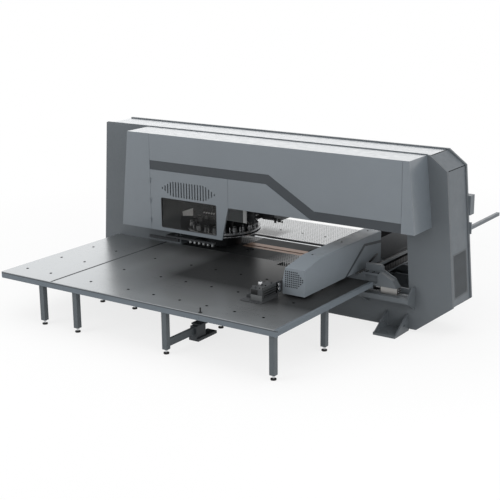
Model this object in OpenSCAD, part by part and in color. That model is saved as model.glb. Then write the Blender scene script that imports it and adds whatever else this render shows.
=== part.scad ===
/* [Frame] */
// Length of the frame along X at its widest
frame_len = 7274; // [6000:1:8500]
// Height of the frame's top above the floor
frame_top = 2920; // [2500:1:3300]
// Clearance between the floor and the frame's underside
frame_lift = 45; // [25:1:90]
// Depth of the frame over both plates
frame_depth = 756; // [640:1:900]
// Thickness of each frame plate
plate_t = 50; // [30:1:70]
// Inward lean of the left edge
left_lean = 194; // [60:1:320]
// Inward lean of the right edge between its chamfers
right_lean = 180; // [60:1:320]
// Run of the lower right chamfer
low_chamfer_x = 622; // [300:1:800]
// Rise of the lower right chamfer
low_chamfer_z = 466; // [200:1:600]
// Run of the upper right chamfer
top_chamfer_x = 308; // [150:1:450]
// Drop of the upper right chamfer
top_chamfer_z = 232; // [120:1:350]
// Sheet thickness of the panels between the plates
panel_t = 12; // [6:1:20]
// How far those panels sit below the plate edges
panel_recess = 18; // [10:1:60]

/* [Throat] */
// Throat's left edge, left of the origin
throat_left = 1753; // [1720:1:1900]
// Throat's right edge at its sill
throat_right = 2868; // [2820:1:2960]
// Inward lean of the right edge
throat_taper = 68; // [20:1:120]
// Height of the throat's top edge
throat_top = 1714; // [1700:1:1780]
// Right end of the deeper notch over the lower turret
notch_right = 350; // [330:1:380]
// Floor of that notch
notch_z = 560; // [480:1:600]
// Thickness of the throat's lining
liner_t = 40; // [20:1:60]
// How far the turret's rear hood reaches past the throat's left and top edges
hood_over = 36; // [20:1:60]
// Right end of the hood, left of the origin
hood_right = 860; // [800:1:950]
// Depth of the hood behind the frame
hood_d = 332; // [310:1:380]
// Height of the hood's lower edge
hood_low = 832; // [820:1:860]

/* [Feet] */
// Foot plate centre from the frame's end
foot_in = 966; // [880:1:1300]
// Foot plate width
foot_w = 396; // [300:1:480]
// Foot plate reach in front of the frame plate
foot_reach = 453; // [360:1:520]
// How far the foot plate runs under the frame plate
foot_under = 44; // [30:1:50]
// Gusset thickness
gusset_t = 30; // [20:1:40]
// Gusset height
gusset_h = 255; // [180:1:280]
// Gusset length
gusset_run = 412; // [300:1:430]
// Radius of the hole in a gusset
gusset_hole_r = 22; // [12:1:32]
// Anchor hole radius
anchor_r = 18; // [12:0.5:24]
// Anchor hole distance from the frame's middle plane
anchor_y = 720; // [640:1:760]

/* [End vent] */
// Vent width
vent_w = 520; // [300:1:580]
// Vent bottom height
vent_low = 618; // [560:1:700]
// Vent height
vent_h = 735; // [400:1:800]
// Rim round the vent's slots
vent_rim = 28; // [15:1:45]
// Number of slots
vent_slots = 40; // [12:1:50]
// Share of the slot pitch that is open
vent_open_share = 0.45; // [0.2:0.05:0.7]

/* [Rear fittings] */
// Rear box width
rear_box_w = 240; // [150:1:300]
// Rear box depth
rear_box_d = 155; // [100:1:220]
// Rear box height
rear_box_h = 320; // [200:1:420]
// Rear box overhang past the plate's edge
rear_box_over = 14; // [10:1:80]
// Rear box bottom height
rear_box_z = 1862; // [1830:1:2000]
// Cable arm length behind the frame
arm_len = 1180; // [700:1:1500]
// Cable arm tube width
arm_w = 54; // [44:1:100]
// How far the arm stands past the plate's edge
arm_over = 25; // [20:1:70]
// Cable arm's underside height
arm_z = 1626; // [1560:1:1660]
// Wall of the arm's tube
arm_wall = 6; // [3:1:10]
// Root plate width
arm_root_w = 170; // [120:1:220]
// Root plate height
arm_root_h = 190; // [150:1:210]
// Root plate thickness
arm_root_t = 24; // [10:1:40]

/* [Front cover] */
// Depth of the cover in front of the frame
cover_deep = 618; // [560:1:760]
// Sheet thickness of the cover
cover_t = 6; // [3:1:10]
// Gap at the seams between cover pieces
seam_gap = 4; // [2:0.5:8]
// Left end of the cover at its top
cover_left = 2419; // [2300:1:2600]
// Right end of the cover at its top
cover_right = 3115; // [3060:1:3140]
// Outward flare of the sides per unit of height
cover_flare_share = 0.107; // [0.02:0.005:0.16]
// Height of the door's bottom edge
door_low = 1203; // [1180:1:1300]
// Height of the cover's bottom edge over the throat
cover_low = 1784; // [1760:1:1860]
// Width of the cover's left strip at its top
strip_left_w = 492; // [400:1:560]
// Width of the cover's right strip at its top
strip_right_w = 109; // [60:1:160]
// Door's right edge, left of the origin
door_right = 242; // [200:1:300]
// How far the door's lower right corner sits back
door_slant = 139; // [60:1:220]
// Top edge of the stripe on its left run
stripe_top = 2445; // [2380:1:2600]
// Height of the stripe's left run
stripe_h = 159; // [100:1:220]
// Height of the stripe's right run
stripe_low_h = 154; // [100:1:220]
// Where the stripe turns down
stripe_turn = 580; // [300:1:900]
// Length of the slanted run along X
stripe_run = 871; // [500:1:1200]
// Shift of the slanted run's lower edge
stripe_shift = 50; // [20:1:90]
// How far the stripe reaches behind its neighbours
stripe_lap = 12; // [8:1:20]
// Radius of a hinge knuckle
knuckle_r = 9; // [7:0.5:12]
// Radius of a hinge pin
hinge_pin_r = 5; // [3:0.5:6]
// Height of a hinge knuckle
knuckle_h = 45; // [30:1:70]
// Width of a hinge leaf
leaf_w = 30; // [20:1:50]
// Thickness of a hinge leaf
leaf_t = 4; // [2:0.5:6]
// Height of the lowest hinge above the door's bottom edge
hinge_up = 120; // [60:1:200]
// Distance between the hinges
hinge_pitch = 360; // [250:1:380]
// Depth of the door's folded rim
door_rim = 30; // [15:1:50]

/* [Door openings] */
// Window's left edge, left of the origin
win_left = 1683; // [1600:1:1800]
// Window's width
win_w = 1186; // [900:1:1260]
// Window's bottom edge
win_low = 1275; // [1240:1:1340]
// Window's height
win_h = 521; // [420:1:540]
// Pane thickness
pane_t = 5; // [3:0.5:10]
// Pane overlap behind the sheet
pane_lap = 14; // [8:1:20]
// Vent centre height above the door's bottom edge
slot_mid = 775; // [740:1:800]
// Height of the middle slots
slot_h = 270; // [150:1:300]
// Width of one slot
slot_w = 22; // [10:1:34]
// Number of slots in the door
door_slots = 20; // [8:1:26]
// Length of the vent's pointed ends
slot_taper = 240; // [120:1:360]

/* [Turret] */
// Turret axis, left of the origin
turret_x = 1048; // [1040:1:1060]
// Radius of the turret discs
turret_r = 660; // [600:1:664]
// Underside height of the upper disc
disc_z = 1100; // [1085:1:1105]
// Thickness of the upper disc
disc_t = 80; // [60:1:84]
// Height of the groove round a disc's rim
groove_h = 24; // [14:1:30]
// Depth of that groove
groove_d = 16; // [8:1:24]
// Radius of the drum below the upper disc
drum_r = 330; // [280:1:400]
// Underside height of the drum
drum_z = 870; // [850:1:920]
// Hub radius
hub_r = 170; // [120:1:220]
// Hub top height
hub_top = 1420; // [1380:1:1480]
// Shaft radius
shaft_r = 80; // [50:1:100]
// Radial clearance of running fits
run_gap = 0.05; // [0.02:0.01:0.1]
// Length of shaft held in the bearing
shaft_in = 130; // [80:1:140]
// Bearing housing radius
bearing_r = 150; // [120:1:200]
// Bearing housing height
bearing_h = 160; // [145:1:200]
// Radius of the ring of stations
station_ring = 560; // [520:1:580]
// Number of stations
stations = 20; // [12:2:24]
// Radius of a large tool holder
holder_r = 52; // [40:1:60]
// Share of that radius at the small stations between
small_share = 0.62; // [0.5:0.02:0.8]
// Share of a holder's radius at its collar
collar_share = 0.82; // [0.7:0.02:0.9]
// Height of a tool holder
holder_h = 72; // [50:1:76]
// Share of a holder's radius at its striking head
head_share = 0.6; // [0.4:0.02:0.75]
// Height of that head
head_h = 36; // [20:1:38]
// Underside height of the lower disc
low_disc_z = 610; // [600:1:620]
// Thickness of the lower disc
low_disc_t = 80; // [50:1:85]
// Height of a die holder
die_h = 80; // [50:1:85]
// Height of the lower bearing block
low_block_h = 350; // [300:1:350]
// Width of the lower bearing block
low_block_w = 400; // [340:1:460]
// Hub radius of the lower disc
low_hub_r = 150; // [110:1:180]
// Length of the lower shaft in its block
low_shaft_in = 140; // [90:1:180]
// Gap between a hub and the block below it
hub_gap = 5; // [2:1:10]

/* [Ram] */
// Ram housing's left face, left of the origin
ram_left = 866; // [800:1:870]
// Ram housing's right face, left of the origin
ram_right = 390; // [384:1:410]
// Ram housing's depth
ram_d = 500; // [400:1:560]
// Ram housing's underside height
ram_low = 1345; // [1335:1:1380]
// Right face of the housing's front box, left of the origin
ram_box_right = 455; // [440:1:480]
// Set-back of the housing right of that box
ram_set_back = 130; // [90:1:150]
// Right face of the valve column beside the housing, left of the origin
column_right = 262; // [240:1:290]
// Front face of the column, in front of the frame's middle
column_front = 170; // [150:1:200]
// Rear face of the column, in front of the frame's middle
column_back = 50; // [20:1:80]
// Depth of the column's grooves
column_step = 14; // [8:1:20]
// Number of the column's grooves
column_grooves = 5; // [3:1:8]
// Left face of the shear's guide housing, left of the origin
guide_left = 48; // [44:1:52]
// Right face of the guide housing
guide_right = 215; // [150:1:240]
// Underside height of the guide housing
guide_low = 1370; // [1340:1:1420]
// Chamfer at the guide housing's lower right edge
guide_chamfer = 70; // [30:1:100]
// Ram radius
ram_r = 60; // [40:1:75]
// How far the ram stands below its housing
ram_out = 10; // [5:1:15]
// Length of the ram inside its housing
ram_in = 215; // [150:1:240]
// Length of the ram's bore
ram_bore = 255; // [200:1:300]

/* [Shear] */
// Shear head's left face, left of the origin
shear_left = 370; // [365:1:380]
// Shear head's right face, left of the origin
shear_right = 60; // [40:1:120]
// Shear head's front face
shear_front = 130; // [100:1:160]
// Shear head's depth
shear_d = 310; // [240:1:330]
// Underside height of the shear head
shear_low = 1372; // [1350:1:1400]
// Gap between the shear head and the throat's top
shear_gap = 14; // [5:1:30]
// Height of the blade below the head
blade_h = 42; // [30:1:60]
// Thickness of the blade
blade_t = 42; // [20:1:44]
// Middle of the blade's slot
blade_y = 257; // [245:1:270]
// Radius of the guide rods
guide_r = 40; // [25:1:50]
// Height of the guide rods above the head
guide_h = 640; // [620:1:700]
// Distance between the guide rods
guide_pitch = 170; // [140:1:190]
// Left end of the wear strips, left of the origin
strip_left = 750; // [600:1:900]
// Right end of the wear strips
strip_right = 2240; // [2000:1:2245]
// Width of the front strip
strip_front_w = 96; // [60:1:110]
// Width of the rear strip
strip_rear_w = 148; // [80:1:150]
// Gap between the strips
strip_gap = 52; // [46:1:60]
// Thickness of a strip
strip_t = 12; // [6:1:15]

/* [Hold-down] */
// Hold-down bar's left end, left of the origin
hold_left = 1850; // [1820:1:1900]
// Hold-down bar's right end, left of the origin
hold_right = 780; // [700:1:900]
// Front face of the bar, in front of the frame's middle
hold_front = 700; // [690:1:760]
// Depth of the bar
hold_d = 70; // [50:1:90]
// Underside height of the bar
hold_z = 1000; // [990:1:1005]
// Height of the bar
hold_h = 34; // [20:1:36]
// Width of the bar's rear arm
hold_arm_w = 60; // [40:1:66]
// Depth of its guide on the frame plate
hold_guide_d = 34; // [20:1:50]
// Height of the guide
hold_guide_h = 190; // [160:1:240]
// Left end of the guide's long rail, left of the origin
hold_rail_left = 2470; // [2300:1:2600]
// Underside height of that rail
hold_rail_z = 848; // [840:1:870]
// Height of that rail
hold_rail_h = 46; // [30:1:60]
// Number of hold-down feet
hold_feet = 6; // [3:1:8]
// Pitch of the feet
hold_pitch = 98; // [80:1:105]
// Radius of a foot
hold_foot_r = 28; // [18:1:34]
// Height of a foot
hold_foot_h = 52; // [40:1:80]
// Inset of the last foot from the bar's right end
hold_inset = 40; // [34:1:60]
// Clearance between sliding faces
slide_gap = 0.5; // [0.3:0.1:1]

/* [Tables] */
// Height of the table surface
table_top = 800; // [780:1:830]
// Depth of the table edge
table_deep = 85; // [70:1:110]
// Thickness of the top sheets
sheet_t = 10; // [6:1:14]
// Thickness of the middle table
mid_t = 20; // [12:1:24]
// Left edge of the front table, left of the origin
table_left_x = 3232; // [3000:1:3400]
// Right edge of the front table
table_right_x = 2327; // [2300:1:2400]
// Front edge of the front table, in front of the frame's middle
table_front_y = 3415; // [3200:1:3700]
// Joint between the two front sheets, left of the origin
table_joint = 2095; // [1950:1:2200]
// Gap at that joint
joint_gap = 5; // [2:1:8]
// Rear edge of the front table, in front of the frame's middle
table_rear_y = 385; // [380:1:400]
// Depth of the gap for the saddle
saddle_slot = 194; // [190:1:220]
// Left end of the saddle's gap
saddle_slot_x = 460; // [430:1:470]
// Left edge of the middle table, left of the origin
mid_left = 1740; // [1735:1:1748]
// Right edge of the middle and rear tables
mid_right = 2250; // [2245:1:2285]
// Rear edge of the middle table
mid_back = 990; // [900:1:1020]
// Front edge of the saddle's gap in the middle table
rear_slot_y = 436; // [434:1:440]
// Depth of that gap
rear_slot_d = 144; // [140:1:160]
// Depth of the middle table's support bars
mid_bar_d = 44; // [30:1:48]
// Radius of the punching hole
punch_hole_r = 70; // [50:1:80]
// Front edge of the rear table
rear_front = 1053; // [1030:1:1100]
// Rear edge of the rear table
rear_back = 2301; // [2000:1:2600]
// Thickness of the table skirts
skirt_t = 6; // [3:1:10]
// Position of the skirt's seams about their middle
skirt_seam = 927; // [800:1:1000]
// Width and depth of a skirt seam
seam_w = 3; // [1:0.5:4]
// Rows of screw holes from the front edge
hole_row = 370; // [300:1:450]
// Pitch of those rows
hole_row_pitch = 827; // [700:1:840]
// First hole column of the left sheet from its left edge
hole_col = 242; // [200:1:300]
// Pitch of the left sheet's two columns
hole_col_pitch = 545; // [450:1:600]
// First hole column of the main sheet from the joint
hole_main = 550; // [500:1:580]
// Second hole column of the main sheet from the joint
hole_second = 1345; // [1310:1:1370]
// Pitch of the other columns
hole_pitch = 518; // [500:1:530]
// Radius of a screw hole
hole_r = 14; // [8:0.5:18]

/* [Table base] */
// Leg tube width
leg_w = 90; // [60:1:110]
// First leg column from the table's left edge
leg_in_a = 870; // [780:1:960]
// Second leg column from the table's left edge
leg_in_b = 1609; // [1580:1:1640]
// Third leg column from the table's right edge
leg_in_c = 2105; // [2080:1:2130]
// Fourth leg column from the table's right edge
leg_in_d = 130; // [80:1:180]
// Front leg row from the table's front edge
leg_in_front = 87; // [75:1:140]
// Second leg row from the table's front edge
leg_in_back = 1523; // [1400:1:1650]
// Width of the bars under the sheets
bar_w = 40; // [30:1:60]
// Height of the bars under the sheets
bar_h = 65; // [50:1:70]
// Front bar row from the table's front edge
bar_in = 110; // [108:1:130]
// Rear bar row from the saddle's gap
bar_in_rear = 321; // [280:1:400]
// Depth of the brackets that hold the table to the frame
tie_deep = 100; // [60:1:130]
// Rear table's leg inset
rear_leg_in = 140; // [100:1:200]
// Levelling foot height
level_h = 75; // [50:1:100]
// Levelling foot pad radius
level_pad_r = 45; // [30:1:60]
// Levelling foot pad height
level_pad_h = 20; // [12:1:30]
// Levelling foot stem radius
level_stem_r = 16; // [10:1:22]
// Tie bar height
tie_h = 118; // [80:1:124]
// Tie bar width
tie_w = 44; // [30:1:60]
// Tie bar underside height
tie_z = 108; // [90:1:116]
// Pedal base width
floor_box_w = 186; // [150:1:220]
// Pedal base depth
floor_box_d = 500; // [450:1:540]
// Pedal height to the top of its hood
floor_box_h = 268; // [262:1:290]
// Pedal front from the table's front edge
floor_box_in = 775; // [740:1:820]
// Pedal's reach left of the third leg's middle
floor_box_side = 88; // [70:1:110]
// Height of the pedal base
pedal_base_h = 48; // [30:1:60]
// Inset of the pedal's body from the base
pedal_in = 30; // [16:1:40]
// Depth of the pedal's body
pedal_body_d = 240; // [180:1:280]
// Thickness of the pedal's hood
pedal_hood_t = 24; // [16:1:30]
// Set-back of the hood from the pedal's front
pedal_hood_in = 70; // [40:1:100]
// Depth of the hood
pedal_hood_d = 380; // [300:1:400]
// Gauge pin along X
pin_x = 914; // [860:1:960]
// Gauge pin from the table's front edge
pin_in_y = 63; // [55:1:66]
// Gauge pin radius
pin_r = 12; // [8:0.5:13]
// Gauge pin height above the table
pin_h = 75; // [40:1:90]
// Gauge pin length below the table
pin_in = 105; // [90:1:110]
// Bushing radius
bush_r = 22; // [18:1:23]
// Bushing length below the sheet
bush_h = 55; // [40:1:60]

/* [X guides] */
// Left end of the rail shelf
shelf_left = 440; // [420:1:460]
// Right end of the rail shelf
shelf_right = 2985; // [2960:1:3000]
// Depth of the rail shelf
shelf_d = 262; // [220:1:280]
// Underside height of the shelf
shelf_z = 540; // [520:1:560]
// Thickness of the shelf
shelf_t = 80; // [60:1:90]
// Height of the gussets below the shelf
shelf_gusset_h = 150; // [100:1:170]
// Thickness of a shelf gusset
shelf_gusset_t = 25; // [15:1:35]
// Height of the end plate above the shelf
shelf_end_h = 150; // [100:1:180]
// Depth of the end plate's top edge
shelf_end_top = 90; // [60:1:130]
// Height of the guard along the rear shelf's outer edge
shelf_guard_h = 90; // [60:1:92]
// Thickness of that guard
shelf_guard_t = 10; // [6:1:14]
// Rail width
xrail_w = 50; // [35:1:60]
// Rail height
xrail_h = 30; // [20:1:40]
// Rail distance from the frame's middle plane
xrail_y = 490; // [485:1:495]
// End inset of the rail on its shelf
xrail_in = 40; // [20:1:60]
// Slide block width
block_w = 110; // [90:1:120]
// Slide block height over the shelf
block_h = 120; // [100:1:130]
// Gap under the slide block
block_gap = 5; // [3:1:10]
// Left end of the right slide block
block_right_x = 2449; // [2400:1:2480]
// Length of the right slide block
block_len = 296; // [240:1:320]
// Left end of the left slide block
block_left_x = 1690; // [1660:1:1720]
// Length of the left slide block
block_left_len = 210; // [160:1:240]

/* [Saddle] */
// Front saddle's depth
saddle_d = 160; // [120:1:165]
// Rear saddle's depth
saddle_rear_d = 110; // [90:1:120]
// Rear saddle's front face
saddle_rear_y = 450; // [446:1:455]
// Height of the saddle's right end
saddle_tip_h = 116; // [90:1:130]
// Height of the rear saddle's right end
rear_tip_h = 60; // [40:1:80]
// Where the rear saddle's slope ends
rear_slope_x = 2420; // [2380:1:2460]
// Top height of the front saddle's arm
saddle_arm_z = 940; // [900:1:980]
// Top height of the tongue behind the arm
tongue_z = 1066; // [1020:1:1100]
// Depth of the tongue
tongue_d = 60; // [40:1:80]
// Left end of the tongue
tongue_left = 2130; // [2100:1:2180]
// Right end of the tongue
tongue_right = 2440; // [2400:1:2460]
// Where the arm's rise from the bridge starts
saddle_rise_x = 2000; // [1960:1:2040]
// Left end of the wedge over the slide block
wedge_left = 2433; // [2420:1:2470]
// Top height of the wedge's left end
wedge_z = 968; // [950:1:1000]
// Inset of the wedge's tip from the saddle's right end
wedge_in = 80; // [40:1:120]
// Left end of the saddle
saddle_left = 1600; // [1598:1:1620]
// Height of the saddle's bridge
bridge_z = 840; // [836:1:842]
// Pocket depth in the arm's faces
pocket_d = 45; // [20:1:55]
// Rim left round the pocket
pocket_rim = 36; // [24:1:50]

/* [Beam] */
// Left face of the beam cover at its lower edge
beam_left = 1509; // [1507:1:1515]
// Right face of the beam cover
beam_right = 1911; // [1905:1:1913]
// Lower edge of the beam cover
beam_low = 844; // [843:1:850]
// Top of the beam cover
beam_top = 1370; // [1340:1:1400]
// Inward lean of the cover's left face
beam_lean = 70; // [40:1:76]
// Run and drop of the top right edge
beam_edge = 14; // [8:1:20]
// Front face of the cover, in front of the frame's middle
beam_front = 2014; // [1990:1:2040]
// Rear end of the cover
beam_back = 457; // [440:1:700]
// Length of the front bevel
bevel_run = 487; // [300:1:600]
// Drop of the front bevel
bevel_drop = 103; // [60:1:130]
// Sheet thickness of the beam cover
beam_sheet = 5; // [3:0.5:8]
// Lower edge of the cover's left face
beam_open_z = 1066; // [1062:1:1080]
// Left face of the beam
core_left = 1600; // [1599:1:1604]
// Right face of the beam
core_right = 1890; // [1880:1:1895]
// Underside of the beam
core_low = 870; // [866:1:874]
// Top of the beam
core_top = 1240; // [1200:1:1255]
// Front end of the beam, in front of the frame's middle
core_front = 1950; // [1930:1:1980]
// Rear end of the beam
core_back = 1700; // [1600:1:1900]
// Width of the posts that carry the cover
post_w = 60; // [40:1:80]
// First post, in front of the frame's middle
post_front = 1450; // [1300:1:1500]
// Distance between the posts
post_pitch = 880; // [700:1:900]
// Wall of the beam
core_wall = 22; // [12:1:30]
// Width of a beam rail
rail_w = 30; // [20:1:36]
// Height of a beam rail
rail_h = 25; // [18:1:30]
// Lower rail's middle height
rail_z = 930; // [925:1:935]
// Distance between the beam rails
rail_pitch = 84; // [70:1:90]
// End inset of the beam rails
rail_in = 10; // [5:1:20]
// Width of the beam's stripe
beam_band = 62; // [40:1:90]
// Height of the stripe's rear run
band_drop = 47; // [30:1:60]
// Thickness of the beam's stripe
beam_band_t = 2; // [1:0.5:3]
// Foot of the stripe, in front of the frame's middle
band_foot = 770; // [700:1:850]
// Turn of the stripe, in front of the frame's middle
band_turn = 138; // [80:1:200]
// Height of the stripe's turn
band_turn_z = 1275; // [1240:1:1300]
// Height of the stripe's rear end
band_end_z = 1215; // [1190:1:1260]
// Columns of grille holes
grille_cols = 7; // [4:1:9]
// Rows of grille holes
grille_rows = 8; // [4:1:10]
// Pitch of the grille holes
grille_pitch = 34; // [28:1:38]
// Radius of a grille hole
grille_r = 10; // [6:0.5:12]
// Inset of the grille from the cover's left face
grille_in = 58; // [50:1:70]
// Height of the first grille row over the lower edge
grille_up = 130; // [100:1:160]

/* [Cable tray] */
// Left face of the tray
tray_x = 2290; // [2260:1:2300]
// Width of the tray
tray_w = 46; // [36:1:60]
// Height of the tray
tray_h = 220; // [180:1:240]
// Sheet thickness of the tray
tray_t = 6; // [3:1:8]
// Height of a tray lip
tray_lip = 25; // [15:1:32]
// Rear end of the tray
tray_back = 1650; // [1200:1:1700]
// Gap round the cable chain
chain_gap = 6; // [3:1:10]
// Number of cable chain links
chain_links = 34; // [16:1:44]
// Share of a link's pitch that stands proud
chain_rib_share = 0.6; // [0.3:0.05:0.8]
// Height of a chain rib
chain_rib = 6; // [3:1:8]

/* [Clamps] */
// Left face of the carriage plate
carriage_x = 1468; // [1466:1:1472]
// Thickness of the carriage plate
carriage_t = 32; // [24:1:34]
// Underside of the carriage plate
carriage_low = 875; // [870:1:880]
// Height of the carriage plate
carriage_h = 183; // [160:1:186]
// Front end of the carriage plate, in front of the frame's middle
carriage_front = 2500; // [2460:1:2520]
// Length of the carriage plate
carriage_len = 1470; // [1440:1:1560]
// Length of a carriage block
runner_len = 150; // [100:1:180]
// Front runner, in front of the frame's middle
runner_front = 1930; // [1900:1:1940]
// Distance between the runners
runner_pitch = 730; // [600:1:740]
// Height of a runner
runner_h = 150; // [130:1:155]
// Gap between a runner and the beam
runner_gap = 2; // [1:0.5:4]
// Cut in the carriage plate's front end
carriage_step = 20; // [10:1:22]
// Radius of a cylinder end on the carriage
button_r = 28; // [16:1:32]
// Length of a cylinder end
button_h = 16; // [8:1:18]
// Distance between the cylinder ends
button_pitch = 66; // [58:1:72]
// Left face of the clamp block
clamp_left = 1253; // [1230:1:1280]
// Front face of the front clamp, in front of the frame's middle
clamp_front = 2519; // [2500:1:2530]
// Length of a clamp block
clamp_len = 444; // [380:1:460]
// Distance between the clamps
clamp_pitch = 1020; // [900:1:1040]
// Top of a clamp block
clamp_top = 1018; // [990:1:1030]
// Gap between the lower jaw and the table
jaw_float = 4; // [3:0.5:6]
// Thickness of the lower jaw
jaw_t = 12; // [8:1:16]
// Reach of the jaws in front of the clamp block
jaw_reach = 170; // [140:1:180]
// Overhang of the lower jaw at the block's front
jaw_over = 40; // [20:1:50]
// Sheet gap between the jaws
jaw_gap = 6; // [5:0.5:8]
// Width of the upper jaw
upper_w = 190; // [140:1:220]
// Height of the upper jaw at its tip
upper_tip = 30; // [20:1:36]
// Height of the upper jaw at its root
upper_root = 120; // [90:1:130]
// Length of the upper jaw inside the block
upper_in = 120; // [100:1:130]
// Bevel at the upper jaw's heel
upper_heel = 40; // [30:1:44]
// Clearance round the upper jaw in its slot
upper_gap = 4; // [2:0.5:6]
// Room above the upper jaw in its slot
upper_room = 40; // [30:1:46]
// Pivot pin radius
pivot_r = 16; // [10:1:20]
// Pivot height above the upper jaw's underside
pivot_up = 62; // [50:1:70]
// Pivot distance behind the block's left face
pivot_in = 70; // [60:1:80]
// Cap radius on the clamp block
cap_r = 34; // [22:1:40]
// Cap height on the clamp block
cap_h = 34; // [20:1:40]

/* [Hidden] */
$fn = 48;
cut = 20;
small_fn = 24;
hole_fn = 8;
half_d = frame_depth / 2;
in_y = half_d - plate_t;
x_left = -frame_len / 2;
x_right = frame_len / 2;
x_tl = x_left + left_lean;
x_br = x_right - low_chamfer_x;
z_rc = frame_lift + low_chamfer_z;
x_tr = x_right - right_lean;
z_tc = frame_top - top_chamfer_z;
x_tt = x_tr - top_chamfer_x;
sill_z = table_top - table_deep;
throat_rt = throat_right - throat_taper;
plate_pts = [[x_left, frame_lift], [x_br, frame_lift], [x_right, z_rc],
    [x_tr, z_tc], [x_tt, frame_top], [x_tl, frame_top]];
throat_pts = [[-throat_left, notch_z], [-notch_right, notch_z], [-notch_right, sill_z],
    [throat_right, sill_z], [throat_rt, throat_top], [-throat_left, throat_top]];
liner_pts = [[-throat_left, notch_z], [-throat_left, throat_top], [throat_rt, throat_top],
    [throat_right, sill_z], [throat_right + liner_t, sill_z],
    [throat_rt + liner_t, throat_top + liner_t],
    [-throat_left - liner_t, throat_top + liner_t], [-throat_left - liner_t, notch_z]];
end_a = [x_tt - panel_recess, frame_top - panel_recess];
end_b = [x_tr - panel_recess, z_tc - panel_recess / 2];
end_c = [x_right - panel_recess, z_rc];
end_d = [x_br - panel_recess, frame_lift + panel_recess];
seam = seam_gap / 2;
foot_x = frame_len / 2 - foot_in;
seam_left = cover_left - strip_left_w;
seam_right = cover_right - strip_right_w;
leg_a = table_left_x - leg_in_a;
leg_b = table_left_x - leg_in_b;
leg_c = table_right_x - leg_in_c;
leg_d = table_right_x - leg_in_d;
leg_front = table_front_y - leg_in_front;
leg_back = table_front_y - leg_in_back;
bar_front = table_front_y - bar_in;
bar_rear = table_rear_y + saddle_slot + bar_in_rear;
pin_y = table_front_y - pin_in_y;
floor_box_y = table_front_y - floor_box_in;
face_y = -half_d - cover_deep;
stripe_bot = stripe_top - stripe_h;
stripe_low_top = cover_low + stripe_low_h;
lid_z = frame_top - cover_t;
win_right = win_w - win_left;
station_x = station_ring - turret_x;
holder_z = disc_z + disc_t;
die_z = low_disc_z + low_disc_t;
block_top = shelf_z + shelf_t + block_h;
rail_top = shelf_z + shelf_t + xrail_h;
jaw_low = table_top + jaw_float;
jaw_high = jaw_low + jaw_t;
upper_low = jaw_high + jaw_gap;
clamp_depth = carriage_x - clamp_left;
sheet_low = table_top - sheet_t;
bar_z = sheet_low - bar_h;
strip_a = blade_y - strip_gap / 2;
strip_b = blade_y + strip_gap / 2;
guide_mid = -(shear_left + shear_right) / 2;
mid_bar_y = rear_slot_y + rear_slot_d + cut;
table_cols = [-leg_a, -leg_b, leg_c, leg_d];
table_rows = [-leg_front, -leg_back];
rear_cols = [-mid_left + rear_leg_in, mid_right - rear_leg_in];
rear_rows = [rear_front + rear_leg_in, rear_back - rear_leg_in];
main_cols = [hole_main, hole_second, hole_second + hole_pitch, hole_second + 2 * hole_pitch,
    hole_second + 3 * hole_pitch, hole_second + 4 * hole_pitch, hole_second + 5 * hole_pitch];
paint = [0.44, 0.47, 0.5];
dark_paint = [0.28, 0.3, 0.32];
plate_grey = [0.35, 0.38, 0.4];
steel = [0.62, 0.63, 0.64];
dark_steel = [0.27, 0.28, 0.29];
silver = [0.75, 0.76, 0.77];
black = [0.1, 0.1, 0.11];
copper = [0.62, 0.45, 0.36];
tint = [0.2, 0.2, 0.21, 0.5];

// Straight helpers: a box between two corners, slabs from outlines, and rods along an axis
module block(lo, hi) translate(lo) cube(hi - lo);
module slab_y(pts, y0, y1) translate([0, y1, 0]) rotate([90, 0, 0]) linear_extrude(y1 - y0) polygon(pts);
module slab_x(pts, x0, x1) translate([x0, 0, 0]) rotate([90, 0, 90]) linear_extrude(x1 - x0) polygon(pts);
module rod_z(x, y, r, z0, z1) translate([x, y, z0]) cylinder(r = r, h = z1 - z0);
module rod_x(y, z, r, x0, x1) translate([x0, y, z]) rotate([0, 90, 0]) cylinder(r = r, h = x1 - x0);
module rod_y(x, z, r, y0, y1) translate([x, y1, z]) rotate([90, 0, 0]) cylinder(r = r, h = y1 - y0);
module both_y() {
    children();
    mirror([0, 1, 0]) children();
}
module both_x() {
    children();
    mirror([1, 0, 0]) children();
}

// Frame plates with the throat cut through
module frame_plate(y0) difference() {
    slab_y(plate_pts, y0, y0 + plate_t);
    slab_y(throat_pts, y0 - cut, y0 + plate_t + cut);
}
module front_plate() color(plate_grey) frame_plate(-half_d);
module rear_plate() color(plate_grey) frame_plate(in_y);

// Panels between the plates
module top_panel() color(paint)
    block([x_tl + panel_recess, -in_y, frame_top - panel_recess - panel_t],
        [end_a[0] - panel_t, in_y, frame_top - panel_recess]);
function end_x(z) = end_c[0] + (end_b[0] - end_c[0]) * (z - end_c[1]) / (end_b[1] - end_c[1]);
module vent_body(over) slab_y([[end_x(vent_low) + over, vent_low],
    [end_x(vent_low + vent_h) + over, vent_low + vent_h],
    [end_x(vent_low + vent_h) - panel_t - over, vent_low + vent_h],
    [end_x(vent_low) - panel_t - over, vent_low]], -vent_w / 2, vent_w / 2);
module right_end_panel() color(paint) difference() {
    slab_y([end_a, end_b, end_c, end_d, end_d - [panel_t, 0], end_c - [panel_t, 0],
        end_b - [panel_t, 0], end_a - [panel_t, panel_t]], -in_y, in_y);
    vent_body(cut);
}
module vent_grille() color(dark_paint) difference() {
    vent_body(0);
    for (i = [0 : vent_slots - 1])
        let (step = (vent_h - 2 * vent_rim) / vent_slots, z = vent_low + vent_rim + (i + 0.5) * step)
            block([end_x(z) - panel_t - cut, vent_rim - vent_w / 2, z - step * vent_open_share / 2],
                [end_x(z) + cut, vent_w / 2 - vent_rim, z + step * vent_open_share / 2]);
}
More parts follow.
